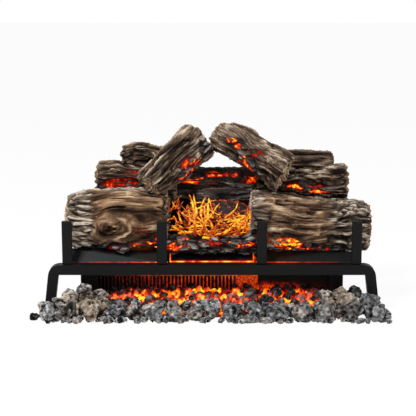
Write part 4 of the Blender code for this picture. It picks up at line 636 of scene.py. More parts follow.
def end_grain(place, seed):
    """Growth rings round the log's middle, split by cracks that run outwards."""
    radius = np.hypot(place[:, 1], place[:, 2])
    turn = np.arctan2(place[:, 2], place[:, 1])
    wobble = 9 * (layered_noise(place / 16, seed + 71, 2) - 0.5)
    rings = 0.5 + 0.5 * np.cos((radius + wobble) / GROWTH_RING_MM * 2 * math.pi)
    spokes = np.stack([3.2 * np.cos(turn), 3.2 * np.sin(turn), radius / 40 + wobble / 30], axis=1)
    cracks = smooth_step(ridged_noise(spokes, seed + 72, 2), 0.72, 0.92) * smooth_step(radius, 3, 14)
    rough = layered_noise(place / 3.2, seed + 73, 3)
    return 0.34 + 0.34 * rings + 0.50 * rough - 0.55 * cracks


def torn_ends(place, seed):
    """How far, in millimetres, each fibre sticks out or is torn short near the log's ends."""
    from_end = place[:, 0].max() - np.abs(place[:, 0])
    torn = layered_noise(place * (0, 1, 1) / 8 + 30 * np.sign(place[:, :1]), seed + 75, 3) - 0.5
    return torn * (TORN_DEPTH_MM * (1 - smooth_step(from_end, 0, TORN_REACH_MM)))


print("knot:", [round(2 * half * PIXEL_MM) for half in KNOT_SIZE], "mm")

# %% Relief, char and glow of a log
LEFT_BARK_X = (88, 98)
TOP_BARK_Y = (189, 196)
RIGHT_BARK_X = (322, 338)
BROWN_FROM_X = (250, 268)


def plain_surface(kind, place, spots, facing, rag, seed):
    """Relief, share of bark and brownness of a log before anything is burnt."""
    bark = old_bark(place, seed)
    bark_share = np.zeros(len(place))
    brown = np.full(len(place), 0.22)
    if kind == "smooth":
        near, rings = knot_grain(place, spots, seed)
        wood = blend(smooth_wood(place, seed), rings, near * facing)
        left = 1 - smooth_step(spots[:, 0] + rag, *LEFT_BARK_X)
        top = (1 - smooth_step(spots[:, 1] + 0.5 * rag, *TOP_BARK_Y)) * 0.7
        bark_share = np.maximum(np.maximum(left, top), 1 - facing)
        brown = 0.85 * (1 - bark_share)
    elif kind == "long_grain":
        wood = 0.75 * split_wood(place, seed) + 0.25 * smooth_wood(place, seed)
        bark_share = np.maximum(smooth_step(spots[:, 0] + rag, *RIGHT_BARK_X), 1 - facing)
        brown = 0.62 * (1 - bark_share) * smooth_step(spots[:, 0], *BROWN_FROM_X)
    elif kind == "bark":
        wood = bark
    else:
        wood = (charred if kind == "char" else split_wood)(place, seed)
    return blend(wood, bark, bark_share), bark_share, brown


def burnt_shares(kind, marks, place, spots, facing, rag, seed):
    """How charred each vertex looks, and how far its relief is that of char."""
    if kind == "char":
        char = np.ones(len(place))
        return char, char
    if kind == "burnt_split":
        char = 0.72 + 0.28 * smooth_step(layered_noise(place / 30, seed + 62, 2), 0.4, 0.6)
        return char, 0.35 * char
    char = marked(spots, marks) * facing
    char = np.clip(char * 1.5 + rag / 40 * (char > 0), 0, 1)
    return char, char


def glow_in_cracks(marks, relief, place, spots, facing, seed):
    """Glow at the marks, broken up by noise and brightest in the grooves."""
    glow = marked(spots, marks) * facing
    flicker = layered_noise(stretched(bent(place, seed + 4, 6), 7, 3), seed + 80, 4)
    veins = smooth_step(1 - relief, 0.25, 0.85)
    embers = smooth_step(0.52 * flicker + 0.48 * veins, 0.34, 0.78)
    return np.clip(glow * 1.6, 0, 1) * embers * (0.52 + 0.66 * glow) * (0.70 + 0.45 * flicker)


print("marked logs:", len(GLOW_MARKS), "glow and", len(CHAR_MARKS), "are charred in places")

# %% Carve and paint the logs
ASHEN_OVAL = (252, 197, 13, 11)
UNCUT_LEVEL = 0.62
END_BROWN = 0.55


def carve_log(name, seed):
    """The dense skin of one log with its relief cut and its colours stored."""
    kind = LOG_KINDS[name]
    mesh = dense_copy(name, LOG_VOXEL)
    points = read_vectors(mesh, "co")
    normals = read_vectors(mesh, "normal")
    along = log_axis(points)
    place = along_log(points, along)
    spots = picture_place(points)
    facing = smooth_step(-normals[:, 1], -0.25, 0.25)
    rag = 14 * (layered_noise(place / 9, seed + 60, 3) - 0.5)
    relief, bark_share, brown = plain_surface(kind, place, spots, facing, rag, seed)
    cut = blend(RELIEF_MM[kind], RELIEF_MM["bark"], bark_share)
    char, blocks = burnt_shares(kind, CHAR_MARKS.get(name, []), place, spots, facing, rag, seed)
    relief = blend(relief, charred(place, seed + 20), blocks)
    cut = blend(cut, RELIEF_MM["char"], blocks)
    ends = smooth_step(np.abs(normals @ along), 0.55, 0.85)
    relief = blend(relief, end_grain(place, seed), ends)
    cut = blend(cut, RELIEF_MM["end"], ends)
    brown = blend(brown, END_BROWN, ends)
    shift = normals * ((np.clip(relief, 0, 1.15) - UNCUT_LEVEL) * cut / 1000)[:, None]
    shift += np.outer(torn_ends(place, seed) / 1000, along)
    glow = glow_in_cracks(GLOW_MARKS.get(name, []), relief, place, spots, facing, seed)
    # The tone follows the relief: partly stain and dry brushing, partly painted shade and painted
    # highlight.
    tone = 0.94 * relief + 0.30 * (layered_noise(place / 26, seed + 90, 3) - 0.5)
    if kind == "smooth":
        tone += 0.22 * bark_share - 0.03
    if kind == "long_grain":
        ashen = oval(spots, *ASHEN_OVAL) * facing
        tone += 0.05 + 0.16 * ashen
        brown *= 1 - 0.9 * ashen
    write_shape(mesh, points + shift, tone=tone, char=char, brown=brown, glow=glow)
    add_piece(name + "_carved", mesh, log_finish, name)
    return len(mesh.polygons)


faces = sum(carve_log(name, 11 + 100 * index) for index, name in enumerate(LOG_KINDS))
print("carved", len(LOG_KINDS), "logs with", faces, "faces")

# %% [markdown]
# ## Lava rock
# Lava rock is cooled foam: angular lumps of a few centimetres, full of small round holes. Their
# holes and hollows are painted darker, which is painted shade, and their crags paler. A ball of small
# triangles is first pressed against a dozen flat planes, which makes it angular, then roughened and
# pitted. Each lump is made once for its place, so no two are alike. Most are grey, and a few are brown
# or nearly black.

# %% Lava rock finish
# The grit of real lava rock is finer, but would not show in the picture.
ROCK_GRIT_MM = 1.6
# Ramps from pores and hollows, which are painted shade, to the paler crags.
ROCK_COLOURS = {
    "grey": [(0.0, "#050505"), (0.3, "#1d1d1e"), (0.55, "#484849"), (0.78, "#797979"),
             (1.0, "#b5b4b4")],
    "brown": [(0.0, "#0d0a08"), (0.3, "#302820"), (0.55, "#5d5145"), (0.78, "#8a7c6d"),
              (1.0, "#bfb2a2")],
}


def lava_rock_finish():
    """Lava rock: rough and dull, IOR 1.5, with painted shade in its pores, paler on its crags, and
    painted light from the bed given off as emission.
    """
    finish, tree, shader, place, stored, grit, tone = grainy_finish(
        "porous_lava_rock", "tone", ROCK_GRIT_MM, 0.7, 0.5)
    colour = {key: add_node(tree, "ValToRGB", {"stops": stops}, Fac=tone)
              for key, stops in ROCK_COLOURS.items()}
    mixed = add_node(tree, "MixRGB", Fac=stored["brown"], Color1=colour["grey"],
                     Color2=colour["brown"])
    relief = add_node(tree, "Bump", Height=grit, Strength=0.8, Distance=0.0012)
    # The stored glow on rock and char is painted light from the bed, given off by the surface.
    glow = add_node(tree, "ValToRGB", {"stops": GLOW_COLOURS}, Fac=stored["glow"])
    fill_inputs(tree, shader, Base_Color=mixed, Normal=relief, Emission_Color=glow,
                Emission_Strength=0.8, Roughness=0.92, IOR=1.5, Specular_IOR_Level=0.07)
    return finish


rock_finish = lava_rock_finish()
print("finish:", rock_finish.name)

# %% One lump of lava rock
ROCK_PLANES = 13
PLANE_SHARPNESS = 22
ROCK_PORE_MM = 4.6
FULL_RELIEF_SIZE = 0.030


def ball(fineness):
    """The points and triangles of an evenly divided ball of radius 1."""
    build = bmesh.new()
    bmesh.ops.create_icosphere(build, subdivisions=fineness, radius=1.0)
    points = np.array([corner.co for corner in build.verts])
    triangles = np.array([[corner.index for corner in face.verts] for face in build.faces])
    build.free()
    return points, triangles


BALLS = {fineness: ball(fineness) for fineness in (3, 4)}


def rock_shape(size, seed, fineness):
    """Points in metres about the lump's middle, its triangles and its tones."""
    chance = np.random.default_rng(seed)
    directions, triangles = BALLS[fineness]
    planes = chance.normal(size=(ROCK_PLANES, 3))
    planes /= np.linalg.norm(planes, axis=1)[:, None]
    distances = chance.uniform(0.58, 1.0, ROCK_PLANES)
    leaning = np.clip(directions @ planes.T, 0.02, 1) / distances
    reach = np.sum(leaning ** PLANE_SHARPNESS, axis=1) ** (-1 / PLANE_SHARPNESS)
    reach = np.minimum(reach, 1.15)
    stretch = np.array([1.0, chance.uniform(0.72, 0.95), chance.uniform(0.66, 0.92)])
    points = directions * reach[:, None] * stretch * size * 500
    bubbled = points + 5 * (layered_noise(points / 8, seed + 5, 2) - 0.5)[:, None]
    rough = layered_noise(points / 6.0, seed + 1, 4)
    nearest, _, owner = cell_noise(bubbled / ROCK_PORE_MM, seed + 2)
    pores = (1 - smooth_step(nearest, 0.20, 0.52)) * smooth_step(owner, 0.45, 0.6)
    caves = 1 - smooth_step(layered_noise(points / 10, seed + 6, 2), 0.26, 0.42)
    crags = ridged_noise(bubbled / 8.0, seed + 3, 3)
    shift = 4.5 * (rough - 0.5) + 3.6 * (crags - 0.45) - 1.6 * pores - 2.6 * caves
    # Pores and hollows are painted darker, as painted shade; crags are paler.
    tone = 0.66 * rough + 0.60 * crags - 0.40 * pores - 0.50 * caves + 0.04
    points = points + directions * shift[:, None] * min(1.0, size / FULL_RELIEF_SIZE)
    turn = (Matrix.Rotation(chance.uniform(0, 2 * math.pi), 3, "Z")
            @ Matrix.Rotation(chance.uniform(-0.5, 0.5), 3, "X"))
    return points @ np.array(turn).T / 1000, triangles, tone


print("a lump has", len(rock_shape(0.036, 5, 4)[1]), "triangles")

# %% [markdown]
# ## The hearth bed
# On the hearth the lumps lie in a loose band: one row along the front, smaller ones leaning on it from
# behind, heaps two or three lumps deep at each side, and chips in the gaps. The rows fill
# the boxes of the frame's own heaps. Where the photograph shows brown or dark lumps, an oval mark
# colours them. Each lump is set on the floor by its own lowest point, so that none floats.

# %% Plan the rows of rocks
HEAPS = ("rocks_left_end", "rocks_left", "rocks_front_far_left", "rocks_front_middle_left",
         "rocks_front_middle_right", "rocks_front_far_right", "rocks_right", "rocks_right_end")
HEAP_MIDDLES = np.array([sum(corner.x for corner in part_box(name)) / 2 for name in HEAPS])
CHIP_COUNT = 80
# In metres: from and to, counted from the set's middle, behind the front row, sizes, lift.
SIDE_ROWS = [
    (0.250, 0.326, 0.012, (0.026, 0.036), 0.014), (0.196, 0.322, 0.012, (0.024, 0.034), 0.0),
    (0.196, 0.322, 0.026, (0.032, 0.044), 0.008), (0.200, 0.282, 0.050, (0.032, 0.042), 0.002),
    (0.200, 0.282, 0.076, (0.028, 0.038), 0.0), (0.200, 0.282, 0.038, (0.026, 0.034), 0.024),
    (0.200, 0.282, 0.062, (0.024, 0.032), 0.024)]
bed_low, bed_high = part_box("ember_bed")
front_y = cad_low.y
front_row_y = front_y + 0.019
front_row_rear = front_y + 0.038


def row_of_rocks(chance, left, right, y, size_range, lift=0.0, loose=0.003):
    """Lumps side by side from left to right, as x, y, size and lift."""
    row = []
    x = left
    while True:
        size = chance.uniform(*size_range)
        if x + size * 0.6 > right:
            return row
        row.append((x + size / 2, y + chance.uniform(-loose, loose), size, lift))
        x += size * chance.uniform(0.84, 0.98)


def plan_rocks():
    """Where every lump goes: the front row, the row behind it, the heaps and the chips."""
    chance = random.Random(8)
    left, right = cad_low.x, cad_high.x
    plan = row_of_rocks(chance, left + 0.016, right - 0.006, front_row_y + 0.004, (0.036, 0.052), 0,
                        0.004)
    plan += row_of_rocks(chance, bed_low.x - 0.01, bed_high.x + 0.01, front_row_y + 0.019,
                         (0.024, 0.034), 0.010, 0.004)
    for side in (-1, 1):
        for near, far, behind, sizes, lift in SIDE_ROWS:
            ends = sorted((side * near, side * far))
            plan += row_of_rocks(chance, *ends, front_row_y + behind, sizes, lift)
    plan += row_of_rocks(chance, left + 0.002, left + 0.024, front_row_y + 0.004, (0.020, 0.022))
    for _ in range(CHIP_COUNT):
        x = chance.uniform(left + 0.014, right - 0.010)
        y = front_y + chance.uniform(0.001, 0.018)
        plan.append((x, y, chance.uniform(0.010, 0.019), 0.0))
    return plan


rock_plan = plan_rocks()
print("planned", len(rock_plan), "lumps")

# %% Lay the rocks
BROWN_ROCKS = [(92, 306, 20, 16), (70, 304, 12, 10), (338, 302, 15, 22, 1.0), (100, 292, 16, 8, 0.6)]
DARK_ROCKS = [(31, 311, 9, 8), (357, 296, 9, 7), (45, 318, 8, 6, 0.5)]
PALE_ROCKS = [(68, 301, 10, 8), (44, 308, 12, 10), (138, 309, 10, 9, 0.5), (213, 305, 12, 10, 0.4)]
SMALLEST_FINE_ROCK = 0.019
SUNK = 0.0008
EMBER_LIGHT = 0.42


def lay_rocks():
    """Every lump's points, triangles, tone, brownness and painted light from the bed, in the heap
    nearest to it.
    """
    heaps = {name: [] for name in HEAPS}
    for index, (x, y, size, lift) in enumerate(rock_plan):
        fineness = 4 if size > SMALLEST_FINE_ROCK else 3
        points, triangles, tone = rock_shape(size, 300 + 11 * index, fineness)
        points[:, 2] += lift - points[:, 2].min() - (SUNK if lift == 0 else 0)
        points[:, 2] = np.maximum(points[:, 2], 0.0)
        points[:, :2] += (x, y)
        spots = picture_place(points.mean(axis=0)[None])
        shade = random.Random(index).uniform(-0.07, 0.09)
        shade += 0.20 * marked(spots, PALE_ROCKS)[0] - 0.30 * marked(spots, DARK_ROCKS)[0]
        brown = max(marked(spots, BROWN_ROCKS)[0], random.Random(index + 5).choice((0, 0, 0, 0.35)))
        inside = np.clip(bed_high.x - abs(points[:, 0]), 0, 0.02) / 0.02
        # Low lumps behind the front row, beside the bed, get painted light from the bed's glow.
        lit = np.clip((points[:, 1] - front_row_rear) / 0.012, 0, 1) * inside * (points[:, 2] < 0.03)
        heaps[HEAPS[int(np.argmin(abs(x - HEAP_MIDDLES)))]].append(
            (points, triangles, tone + shade, np.full(len(points), brown), EMBER_LIGHT * lit))
    return heaps


def joined_piece(name, parts, finish, replaced=None):
    """One piece from several closed shapes, with their numbers kept."""
    starts = np.cumsum([0] + [len(part[0]) for part in parts])
    triangles = np.concatenate([part[1] + start for part, start in zip(parts, starts)])
    points, tone, brown, glow = [np.concatenate([part[which] for part in parts])
                                 for which in (0, 2, 3, 4)]
    mesh = bpy.data.meshes.new(name)
    mesh.from_pydata(points.tolist(), [], triangles.tolist())
    write_shape(mesh, points, tone=tone, brown=brown, glow=glow)
    add_piece(name, mesh, finish, replaced)


for name, parts in lay_rocks().items():
    joined_piece(name + "_lumps", parts, rock_finish, name)
print("laid", len(rock_plan), "lumps in", len(HEAPS), "heaps")

# %% [markdown]
# ## The glowing ember bed
# The bed is one moulded tray of coals in amber resin, lit from below and painted black on top of the
# coals. So it glows in the valleys between the coals and where the paint is thin. It is
# hottest in the middle and fades to dull red at both sides. The tray's own solid is wrapped in a
# dense skin, and rounded coals are raised on it. Loose bits of char lie on top. On the bed and the
# nest, the number brown says how far the light comes through the paint.

# %% Amber resin finish
RESIN_SPECK_MM = 2.4
PAINT_COLOURS = [(0.0, "#1a0502"), (0.4, "#0c0a0a"), (0.75, "#2a2828"), (1.0, "#66625f")]


def ember_finish(name, colours, strength):
    """Amber resin painted black on its crests, with one even roughness."""
    finish, tree, shader, place, stored, speck, hot = grainy_finish(
        name, "glow", RESIN_SPECK_MM, 0.65, 0.6)
    masked = add_node(tree, "Math", MULTIPLY, n0=hot, n1=stored["brown"])
    glow = add_node(tree, "ValToRGB", {"stops": colours}, Fac=masked)
    paint = add_node(tree, "ValToRGB", {"stops": PAINT_COLOURS}, Fac=stored["tone"])
    relief = add_node(tree, "Bump", Height=speck, Strength=0.6, Distance=0.001)
    fill_inputs(tree, shader, Base_Color=paint, Normal=relief, Emission_Color=glow,
                Emission_Strength=strength, Roughness=0.6, IOR=1.5, Specular_IOR_Level=0.25)
    return finish


bed_finish = ember_finish("amber_resin_under_black_paint", GLOW_COLOURS, 1.2)
print("finish:", bed_finish.name)

# %% Ember bed
RESIN_VOXEL = 0.0014
COAL_MM = 15
COAL_RISE = 0.009
BED_HOT = [(205, 300, 108, 19), (200, 294, 75, 14, 1.0), (300, 298, 42, 14, 0.85)]


def make_bed():
    """Raises coals on the tray, and gives its points for what lies on it."""
    mesh = dense_copy("ember_bed", RESIN_VOXEL)
    points = read_vectors(mesh, "co")
    place = points * 1000
    hot = marked(picture_place(points), BED_HOT)
    nearest, second, owner = cell_noise(bent(place, 70, 4) / COAL_MM, 71)
    valley = 1 - smooth_step(second - nearest, 0.04, 0.42)
    crumbs = layered_noise(place / 6, 72, 3)
    on_top = smooth_step(points[:, 2], 0.010, 0.016)
    relief = (1 - valley) * (0.35 + 0.65 * owner) + 0.35 * crumbs
    points[:, 2] += on_top * (relief - 0.55) * COAL_RISE
    hot_spots = smooth_step(layered_noise(place / np.array([11, 16, 9]), 73, 3), 0.38, 0.70)
    glow = 0.06 + 0.80 * hot_spots + 0.26 * valley - 0.30 * (owner > 0.72)
    cover = smooth_step(hot * (0.45 + 0.65 * valley + 0.5 * (owner < 0.55)), 0.18, 0.62)
    write_shape(mesh, points, tone=relief, glow=glow * (0.55 + 0.45 * hot), brown=cover)
    add_piece("ember_bed_coals", mesh, bed_finish, "ember_bed")
    return points


bed_points = make_bed()
print("ember bed has", len(bed_points), "points")

# %% Loose char on the bed
CHAR_COUNT = 80
REAR_CHAR_FROM = 46


def bed_top(x, y):
    """The bed's height under a place."""
    near = np.hypot(bed_points[:, 0] - x, bed_points[:, 1] - y) < 0.006
    return bed_points[near, 2].max() if near.any() else bed_low.z


def loose_char():
    """Dark lumps all over the bed, then more of them along its rear edge, with painted light from the
    bed on their lower parts.
    """
    chance = random.Random(3)
    parts = []
    for index in range(CHAR_COUNT):
        x = chance.choice((-1, 1)) * (bed_high.x - 0.012) * chance.uniform(0.05, 1.0) ** 0.6
        y = chance.uniform(bed_low.y + 0.010, bed_high.y - 0.010)
        if index >= REAR_CHAR_FROM:
            y = bed_high.y - chance.uniform(0.003, 0.010)
        size = chance.uniform(0.006, 0.021)
        points, triangles, tone = rock_shape(size, 900 + index, 3)
        points += (x, y, bed_top(x, y) + size * 0.12)
        # The lower part of each lump gets painted light from the glowing bed under it.
        under = np.clip(0.5 - (points[:, 2] - points[:, 2].min()) / size, 0, 1)
        parts.append((points, triangles, tone - 0.34, np.zeros(len(points)), under * 0.75))
    return parts


joined_piece("loose_char", loose_char(), rock_finish)
print("laid", CHAR_COUNT, "bits of char on the bed")

# %% [markdown]
# ## The glowing nest of branches
# Between the front logs sits a mound of thin branches cast in amber resin. The mound keeps its own
# solid, roughened and dark in its hollows. Over it lie about 160 thin tapering branches: the main ones
# start where the photograph shows them, and the rest by chance. Each is a tube swept along a
# wandering line that hugs the mound's front. A tube needs only a ring of points at each step, set
# square to the line. The branches are the hottest part, and the mound behind them is deep red.

# %% Mound behind the branches
NEST_COLOURS = [(0.0, "#000000"), (0.20, "#200500"), (0.40, "#761a00"), (0.60, "#c84802"),
                (0.80, "#f5980e"), (1.0, "#ffdf34")]
nest_finish = ember_finish("amber_resin_branches", NEST_COLOURS, 1.15)


def make_mound():
    """Cuts folds and lumps into the nest's own solid, which glow on their crests."""
    mesh = dense_copy("ember_nest", RESIN_VOXEL)
    points = read_vectors(mesh, "co")
    normals = read_vectors(mesh, "normal")
    place = bent(points * 1000, 81, 6)
    folds = ridged_noise(place / 9, 82, 3)
    lumps = layered_noise(place / 5, 83, 3)
    shift = ((folds - 0.5) * 6 + (lumps - 0.5) * 4) / 1000
    glow = 0.06 + 0.60 * smooth_step(folds, 0.30, 0.85) * smooth_step(lumps, 0.32, 0.65)
    write_shape(mesh, points + normals * shift[:, None], tone=0.2 + 0.3 * lumps, glow=glow,
                brown=np.ones(len(points)))
    add_piece("nest_mound", mesh, nest_finish, "ember_nest")
    return len(points)


print("mound has", make_mound(), "points")

# %% Lines for the branches
TWIG_COUNT = 120
TWIG_RADIUS_MM = (1.0, 2.5)
TWIG_STEPS = 14
# Each main branch is x and y in the picture, heading in degrees, and length and radius in millimetres.
MAIN_BRANCHES = [
    (196, 238, 92, 88, 4.2), (200, 236, 88, 80, 3.2), (204, 232, 80, 58, 3.4),
    (212, 230, 96, 58, 3.0), (190, 230, 95, 50, 2.8), (178, 236, 20, 60, 3.4),
    (222, 234, 40, 60, 3.6), (232, 238, 60, 45, 3.4), (241, 239, 118, 52, 3.0),
    (252, 233, 150, 60, 3.6), (257, 222, 170, 55, 2.8), (215, 240, 160, 70, 3.6),
    (200, 240, 10, 80, 3.8), (248, 214, 200, 44, 2.8), (226, 219, 15, 52, 2.8),
    (190, 224, 3, 40, 2.8), (189, 217, -4, 42, 2.6), (190, 211, 2, 44, 2.6),
    (191, 205, -3, 34, 2.2), (171, 226, -20, 34, 2.6), (173, 214, -50, 30, 2.4),
    (236, 226, 30, 44, 3.0), (244, 228, 75, 40, 2.8), (186, 236, 140, 36, 2.6),
    (194, 216, 93, 50, 3.6), (208, 214, 86, 38, 3.2), (213, 210, 92, 30, 2.6),
    (201, 212, 90, 40, 3.0), (182, 222, 120, 26, 2.6), (224, 214, 35, 40, 2.8),
    (236, 212, 10, 36, 2.6), (246, 222, 130, 34, 2.8), (252, 226, 100, 36, 3.0),
    (190, 199, 0, 30, 2.4), (200, 206, 8, 30, 2.6), (204, 199, -6, 26, 2.2)]
nest_low, nest_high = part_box("ember_nest")
nest_middle = np.array((nest_low + nest_high) / 2)
nest_half = np.array((nest_high - nest_low) / 2)


def wandering_path(chance, start, heading, length, wander=0.38):
    """Places along the mound's front, where each step turns a little from the last."""
    place = np.array(start)
    path = []
    for _ in range(TWIG_STEPS):
        unit_x, unit_z = place
        bulge = max(0.0, 1 - 0.75 * unit_x ** 2 - 0.8 * unit_z ** 2) ** 0.5
        depth = -nest_half[1] * (0.25 + 0.75 * bulge) - 0.001 * chance.uniform(0, 3)
        path.append(nest_middle + (unit_x * nest_half[0], depth, unit_z * nest_half[2]))
        heading += chance.uniform(-wander, wander)
        ahead = np.array([math.cos(heading), math.sin(heading)])
        place = place + length / TWIG_STEPS * ahead / nest_half[[0, 2]]
    return path


print("nest:", [round(v * 2000) for v in nest_half], "mm")

# %% Tubes along the lines
TWIG_SIDES = 8


def twig(path, radius, glow):
    """A tapering tube along a path, closed by a point at each end; painted shading makes its glow
    stronger on its upper front side.
    """
    rings = []
    facing = []
    last = len(path) - 1
    for index, spot in enumerate(path):
        ahead = Vector(path[min(index + 1, last)] - path[max(index - 1, 0)]).normalized()
        across = ahead.orthogonal().normalized()
        upward = ahead.cross(across)
        reach = radius * (1.0 - 0.65 * (index / last)) * (0.05 if index in (0, last) else 1.0)
        for side in range(TWIG_SIDES):
            turn = 2 * math.pi * side / TWIG_SIDES
            outward = across * math.cos(turn) + upward * math.sin(turn)
            rings.append(Vector(spot) + reach * outward)
            # Painted shading: sides that face up and forward glow more.
            facing.append(max(0.0, 0.85 * outward.z - 0.5 * outward.y))
    faces = []
    for start in range(0, last * TWIG_SIDES, TWIG_SIDES):
        for side in range(TWIG_SIDES):
            near = start + side
            beside = start + (side + 1) % TWIG_SIDES
            faces += [(near, beside, near + TWIG_SIDES),
                      (beside, beside + TWIG_SIDES, near + TWIG_SIDES)]
    points = np.array(rings)
    flicker = layered_noise(points * 1000 / 5, int(glow * 999), 3)
    # The twig's own glow, with that painted shading in it.
    heat_along = glow * (0.02 + 0.55 * np.array(facing) + 0.95 * flicker)
    return points, np.array(faces), np.full(len(points), 0.35), np.ones(len(points)), heat_along


def nest_branches():
    """The main branches, then the thin ones between them."""
    chance = random.Random(17)
    edges = picture_place(np.array([nest_middle - nest_half, nest_middle + nest_half]))
    middle = edges.mean(axis=0)
    half = np.abs(edges[1] - edges[0]) / 2
    parts = []
    for x, y, degrees, length_mm, radius_mm in MAIN_BRANCHES:
        start = ((x - middle[0]) / half[0], (middle[1] - y) / half[1])
        path = wandering_path(chance, start, math.radians(degrees), length_mm / 1000, 0.22)
        parts.append(twig(path, radius_mm / 1000, chance.uniform(0.85, 1.0)))
    for _ in range(TWIG_COUNT):
        start = (chance.uniform(-1.35, 1.25), chance.uniform(-1.0, 0.62))
        heading = chance.choice((0.1, 0.6, 2.6, 3.0, -0.3)) + chance.uniform(-0.3, 0.3)
        path = wandering_path(chance, start, heading, chance.uniform(0.010, 0.034))
        radius = chance.uniform(*TWIG_RADIUS_MM) / 1000
        parts.append(twig(path, radius, 0.45 + 0.5 * chance.random()))
    return parts


joined_piece("nest_branches", nest_branches(), nest_finish)
print("nest:", len(MAIN_BRANCHES) + TWIG_COUNT, "branches")

# %% [markdown]
# ## Metal, plastic and glass
# The other pieces keep the shape that the frame gives them and only get a finish. Powder coat is
# sprayed as dust and baked, so it has a fine orange peel and is a little uneven in gloss. Zinc shows
# large crystals, called spangle. Each pattern has its real size in millimetres. The pieces inside
# get their finish too, for whoever takes the set apart.

# %% Finishes for the frame's own pieces
PEEL_MM = 0.8


def patterned(name, low, high, pattern_mm, roughness, metallic=0.0, bump_mm=0.03, ior=1.5,
              crystals=False, specular=0.5):
    """A finish whose colour and gloss both wander between two limits over a pattern of real size."""
    finish, tree, shader, place = new_finish(name)
    scale = 1000 / pattern_mm
    if crystals:
        pattern = add_node(tree, "TexVoronoi", Vector=place, Scale=scale).outputs["Color"]
    else:
        pattern = add_node(tree, "TexNoise", Vector=place, Scale=scale, Detail=5.0)
    peel = add_node(tree, "TexNoise", Vector=place, Scale=1000 / PEEL_MM, Detail=2.0)
    colour = add_node(tree, "MixRGB", Fac=pattern, Color1=low, Color2=high)
    gloss = add_node(tree, "MapRange", Value=pattern, n3=roughness[0], n4=roughness[1])
    bump = add_node(tree, "Bump", Height=peel, Strength=0.4, Distance=bump_mm / 1000)
    fill_inputs(tree, shader, Base_Color=colour, Roughness=gloss, Metallic=metallic, Normal=bump,
                IOR=ior, Specular_IOR_Level=specular)
    return finish


# Metals have the default IOR, 1.5, like the plastics; only acrylic is a little lower.
FINISHES = {
    # Baked powder on steel sheet: nearly black, with a wide weak highlight.
    "black_steel": patterned("satin_black_powder_coat", "#050505", "#0b0a0a", 40, (0.42, 0.62),
                             0.0, 0.08, specular=0.15),
    # Hot dip zinc: grey metal whose crystals differ in brightness.
    "galvanised": patterned("galvanised_steel_spangle", "#8f9396", "#b9bdbf", 9, (0.32, 0.5),
                            1.0, 0.02, crystals=True),
    # ABS and nylon, both moulded: even colour and a soft, dull gloss.
    "black_plastic": patterned("black_abs_moulding", "#121213", "#1d1d1e", 12, (0.42, 0.6), 0.0, 0.06),
    "white_plastic": patterned("white_nylon_moulding", "#cfcbc0", "#dedad0", 14, (0.4, 0.55)),
    # Rolled aluminium that has been hot: dull, brownish grey metal.
    "heater_fins": patterned("heat_darkened_aluminium", "#4a4846", "#615d59", 5, (0.35, 0.5),
                             1.0, 0.02),
    # Polished stainless steel: almost a mirror, which throws the moving light.
    "mirror_flag": patterned("polished_stainless_flag", "#c4c6c8", "#d6d8da", 30, (0.06, 0.16),
                             1.0, 0.01),
    # Solder mask printed on glass fibre: green and glossy, mottled by the tracks below it.
    "circuit_board": patterned("green_solder_mask", "#0a3a20", "#12532f", 3, (0.22, 0.45),
                               0.0, 0.05, crystals=True),
    # Cast acrylic: dark and very smooth.
    "smoked_window": patterned("smoked_acrylic", "#0f0b09", "#1a1310", 40, (0.08, 0.2),
                               0.0, 0.01, 1.49),
}
for piece in nodes.values():
    slot_name = piece.material_slots[0].material.name.split(".")[0]
    if slot_name in FINISHES:
        piece.material_slots[0].material = FINISHES[slot_name]
print("finishes:", ", ".join(finish.name for finish in FINISHES.values()))

# %% [markdown]
# ## Steel that the lamps light from behind
# Light from the bed's lamps leaks round the sheet metal: the webs between the outlet slots shine deep
# orange, the sloped centre plate has a bright outline, and the side plates have a thin line at their
# lower edge. Each is the same black steel, and this light on it is painted light: the steel's own
# surface gives it off, as a function of the place on the sheet, made of ramps along X and Z that are
# measured in metres from the photograph.

# %% Steel with painted light
PAINTED_LIGHT_EDGE = 0.0035


def steel_with_painted_light(name, groups, strength, grain_mm=14):
    """Black steel with painted light, given off where all ramps of a group are high; a ramp is axis,
    from and to.
    """
    finish, tree, shader, place = new_finish(name)
    axes = add_node(tree, "SeparateXYZ", Vector=place).outputs
    # glow here is painted light on the steel.
    glow = 0.0
    for group in groups:
        level = 1.0
        for axis, start, end in group:
            ramp = add_node(tree, "MapRange", Value=axes[axis], n1=start, n2=end)
            level = add_node(tree, "Math", MULTIPLY, n0=level, n1=ramp)
        glow = add_node(tree, "Math", MAXIMUM, n0=glow, n1=level)
    noise = add_node(tree, "TexNoise", Vector=place, Scale=1000 / grain_mm, Detail=3.0)
    flicker = add_node(tree, "MapRange", Value=noise, n1=0.3, n2=0.65, n3=0.35, n4=1.0)
    hot = add_node(tree, "Math", MULTIPLY, n0=glow, n1=flicker)
    colours = add_node(tree, "ValToRGB", {"stops": GLOW_COLOURS}, Fac=hot)
    fill_inputs(tree, shader, Base_Color="#070707", Roughness=0.5, Emission_Color=colours,
                Emission_Strength=strength, Specular_IOR_Level=0.13)
    return finish


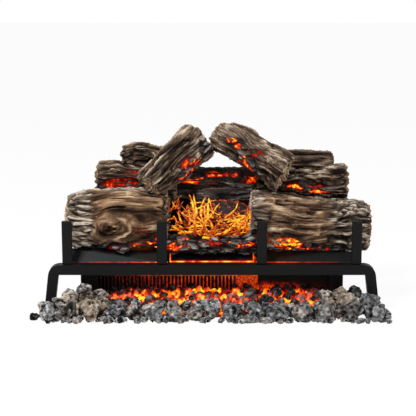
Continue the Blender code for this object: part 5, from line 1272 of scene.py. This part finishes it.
grille_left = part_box("outlet_grille")[0].x
blank_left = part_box("blank_panel")[0].x
center_low, center_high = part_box("apron_center")
LOW_LINE = [(2, center_low.z + 0.0022, center_low.z + 0.0004), (2, center_low.z - 0.0012, center_low.z)]
# Every group below is painted light on black steel.
PAINTED_LIGHT_STEEL = {
    "outlet_grille": steel_with_painted_light("outlet_steel_lit_orange", [
        [(0, grille_left + 0.02, -0.07), (2, 0.0, 0.075), (2, 0.092, 0.062)]], 0.55, 8),
    "light_panel": steel_with_painted_light("amber_panel_lit", [[(2, -0.06, 0.09), (2, 0.14, 0.06)]], 0.55, 4),
    "blank_panel": steel_with_painted_light("recess_steel_lit_low", [
        [(0, blank_left + 0.15, blank_left + 0.03), (2, 0.048, 0.026)]], 0.7, 7),
    "apron_center": steel_with_painted_light("apron_steel_lit_edges", [
        [(0, center_low.x + PAINTED_LIGHT_EDGE, center_low.x)], [(0, center_high.x - PAINTED_LIGHT_EDGE, center_high.x)],
        [(2, center_low.z + PAINTED_LIGHT_EDGE, center_low.z + 0.0015)]], 1.5),
    "apron_left": steel_with_painted_light("left_apron_steel_lit_low", [[*LOW_LINE, (0, -0.32, -0.10)]], 0.9),
    "apron_right": steel_with_painted_light("right_apron_steel_lit_low", [[*LOW_LINE, (0, 0.30, 0.05)]], 0.9),
}
for name, finish in PAINTED_LIGHT_STEEL.items():
    nodes[name].material_slots[0].material = finish
print("lit steel on:", ", ".join(PAINTED_LIGHT_STEEL))

# %% [markdown]
# ## Side plates that reach the uprights
# Seen from the front, the sloped side plates end behind the outer uprights and run down behind the
# rail, and no light shows between them. The frame's plates stop a few millimetres short of that, so
# each gets a copy with its outer end moved out and its lower edge moved down. The left log's end hangs
# a little higher than the rest of it, so the left plate's upper outer corner is raised under it.

# %% Longer side plates
PLATE_REACH = 0.0075
PLATE_DROP = np.array([0, -0.0030, -0.0027])
CORNER_RISE = 0.0065
for name, side, rise in (("apron_left", -1, CORNER_RISE), ("apron_right", 1, 0.0)):
    mesh = nodes[name].data.copy()
    points = read_vectors(mesh, "co")
    outward = side * points[:, 0]
    outer = outward > outward.max() - 0.001
    points[outer, 0] += side * PLATE_REACH
    points[outer & (points[:, 2] > points[:, 2].max() - 0.004), 2] += rise
    points[points[:, 2] < points[:, 2].min() + 0.0015] += PLATE_DROP
    mesh.vertices.foreach_set("co", points.astype(np.float32).ravel())
    add_piece(name + "_full", mesh, PAINTED_LIGHT_STEEL[name], name)
print("side plates reach", PLATE_REACH * 1000, "mm further out")
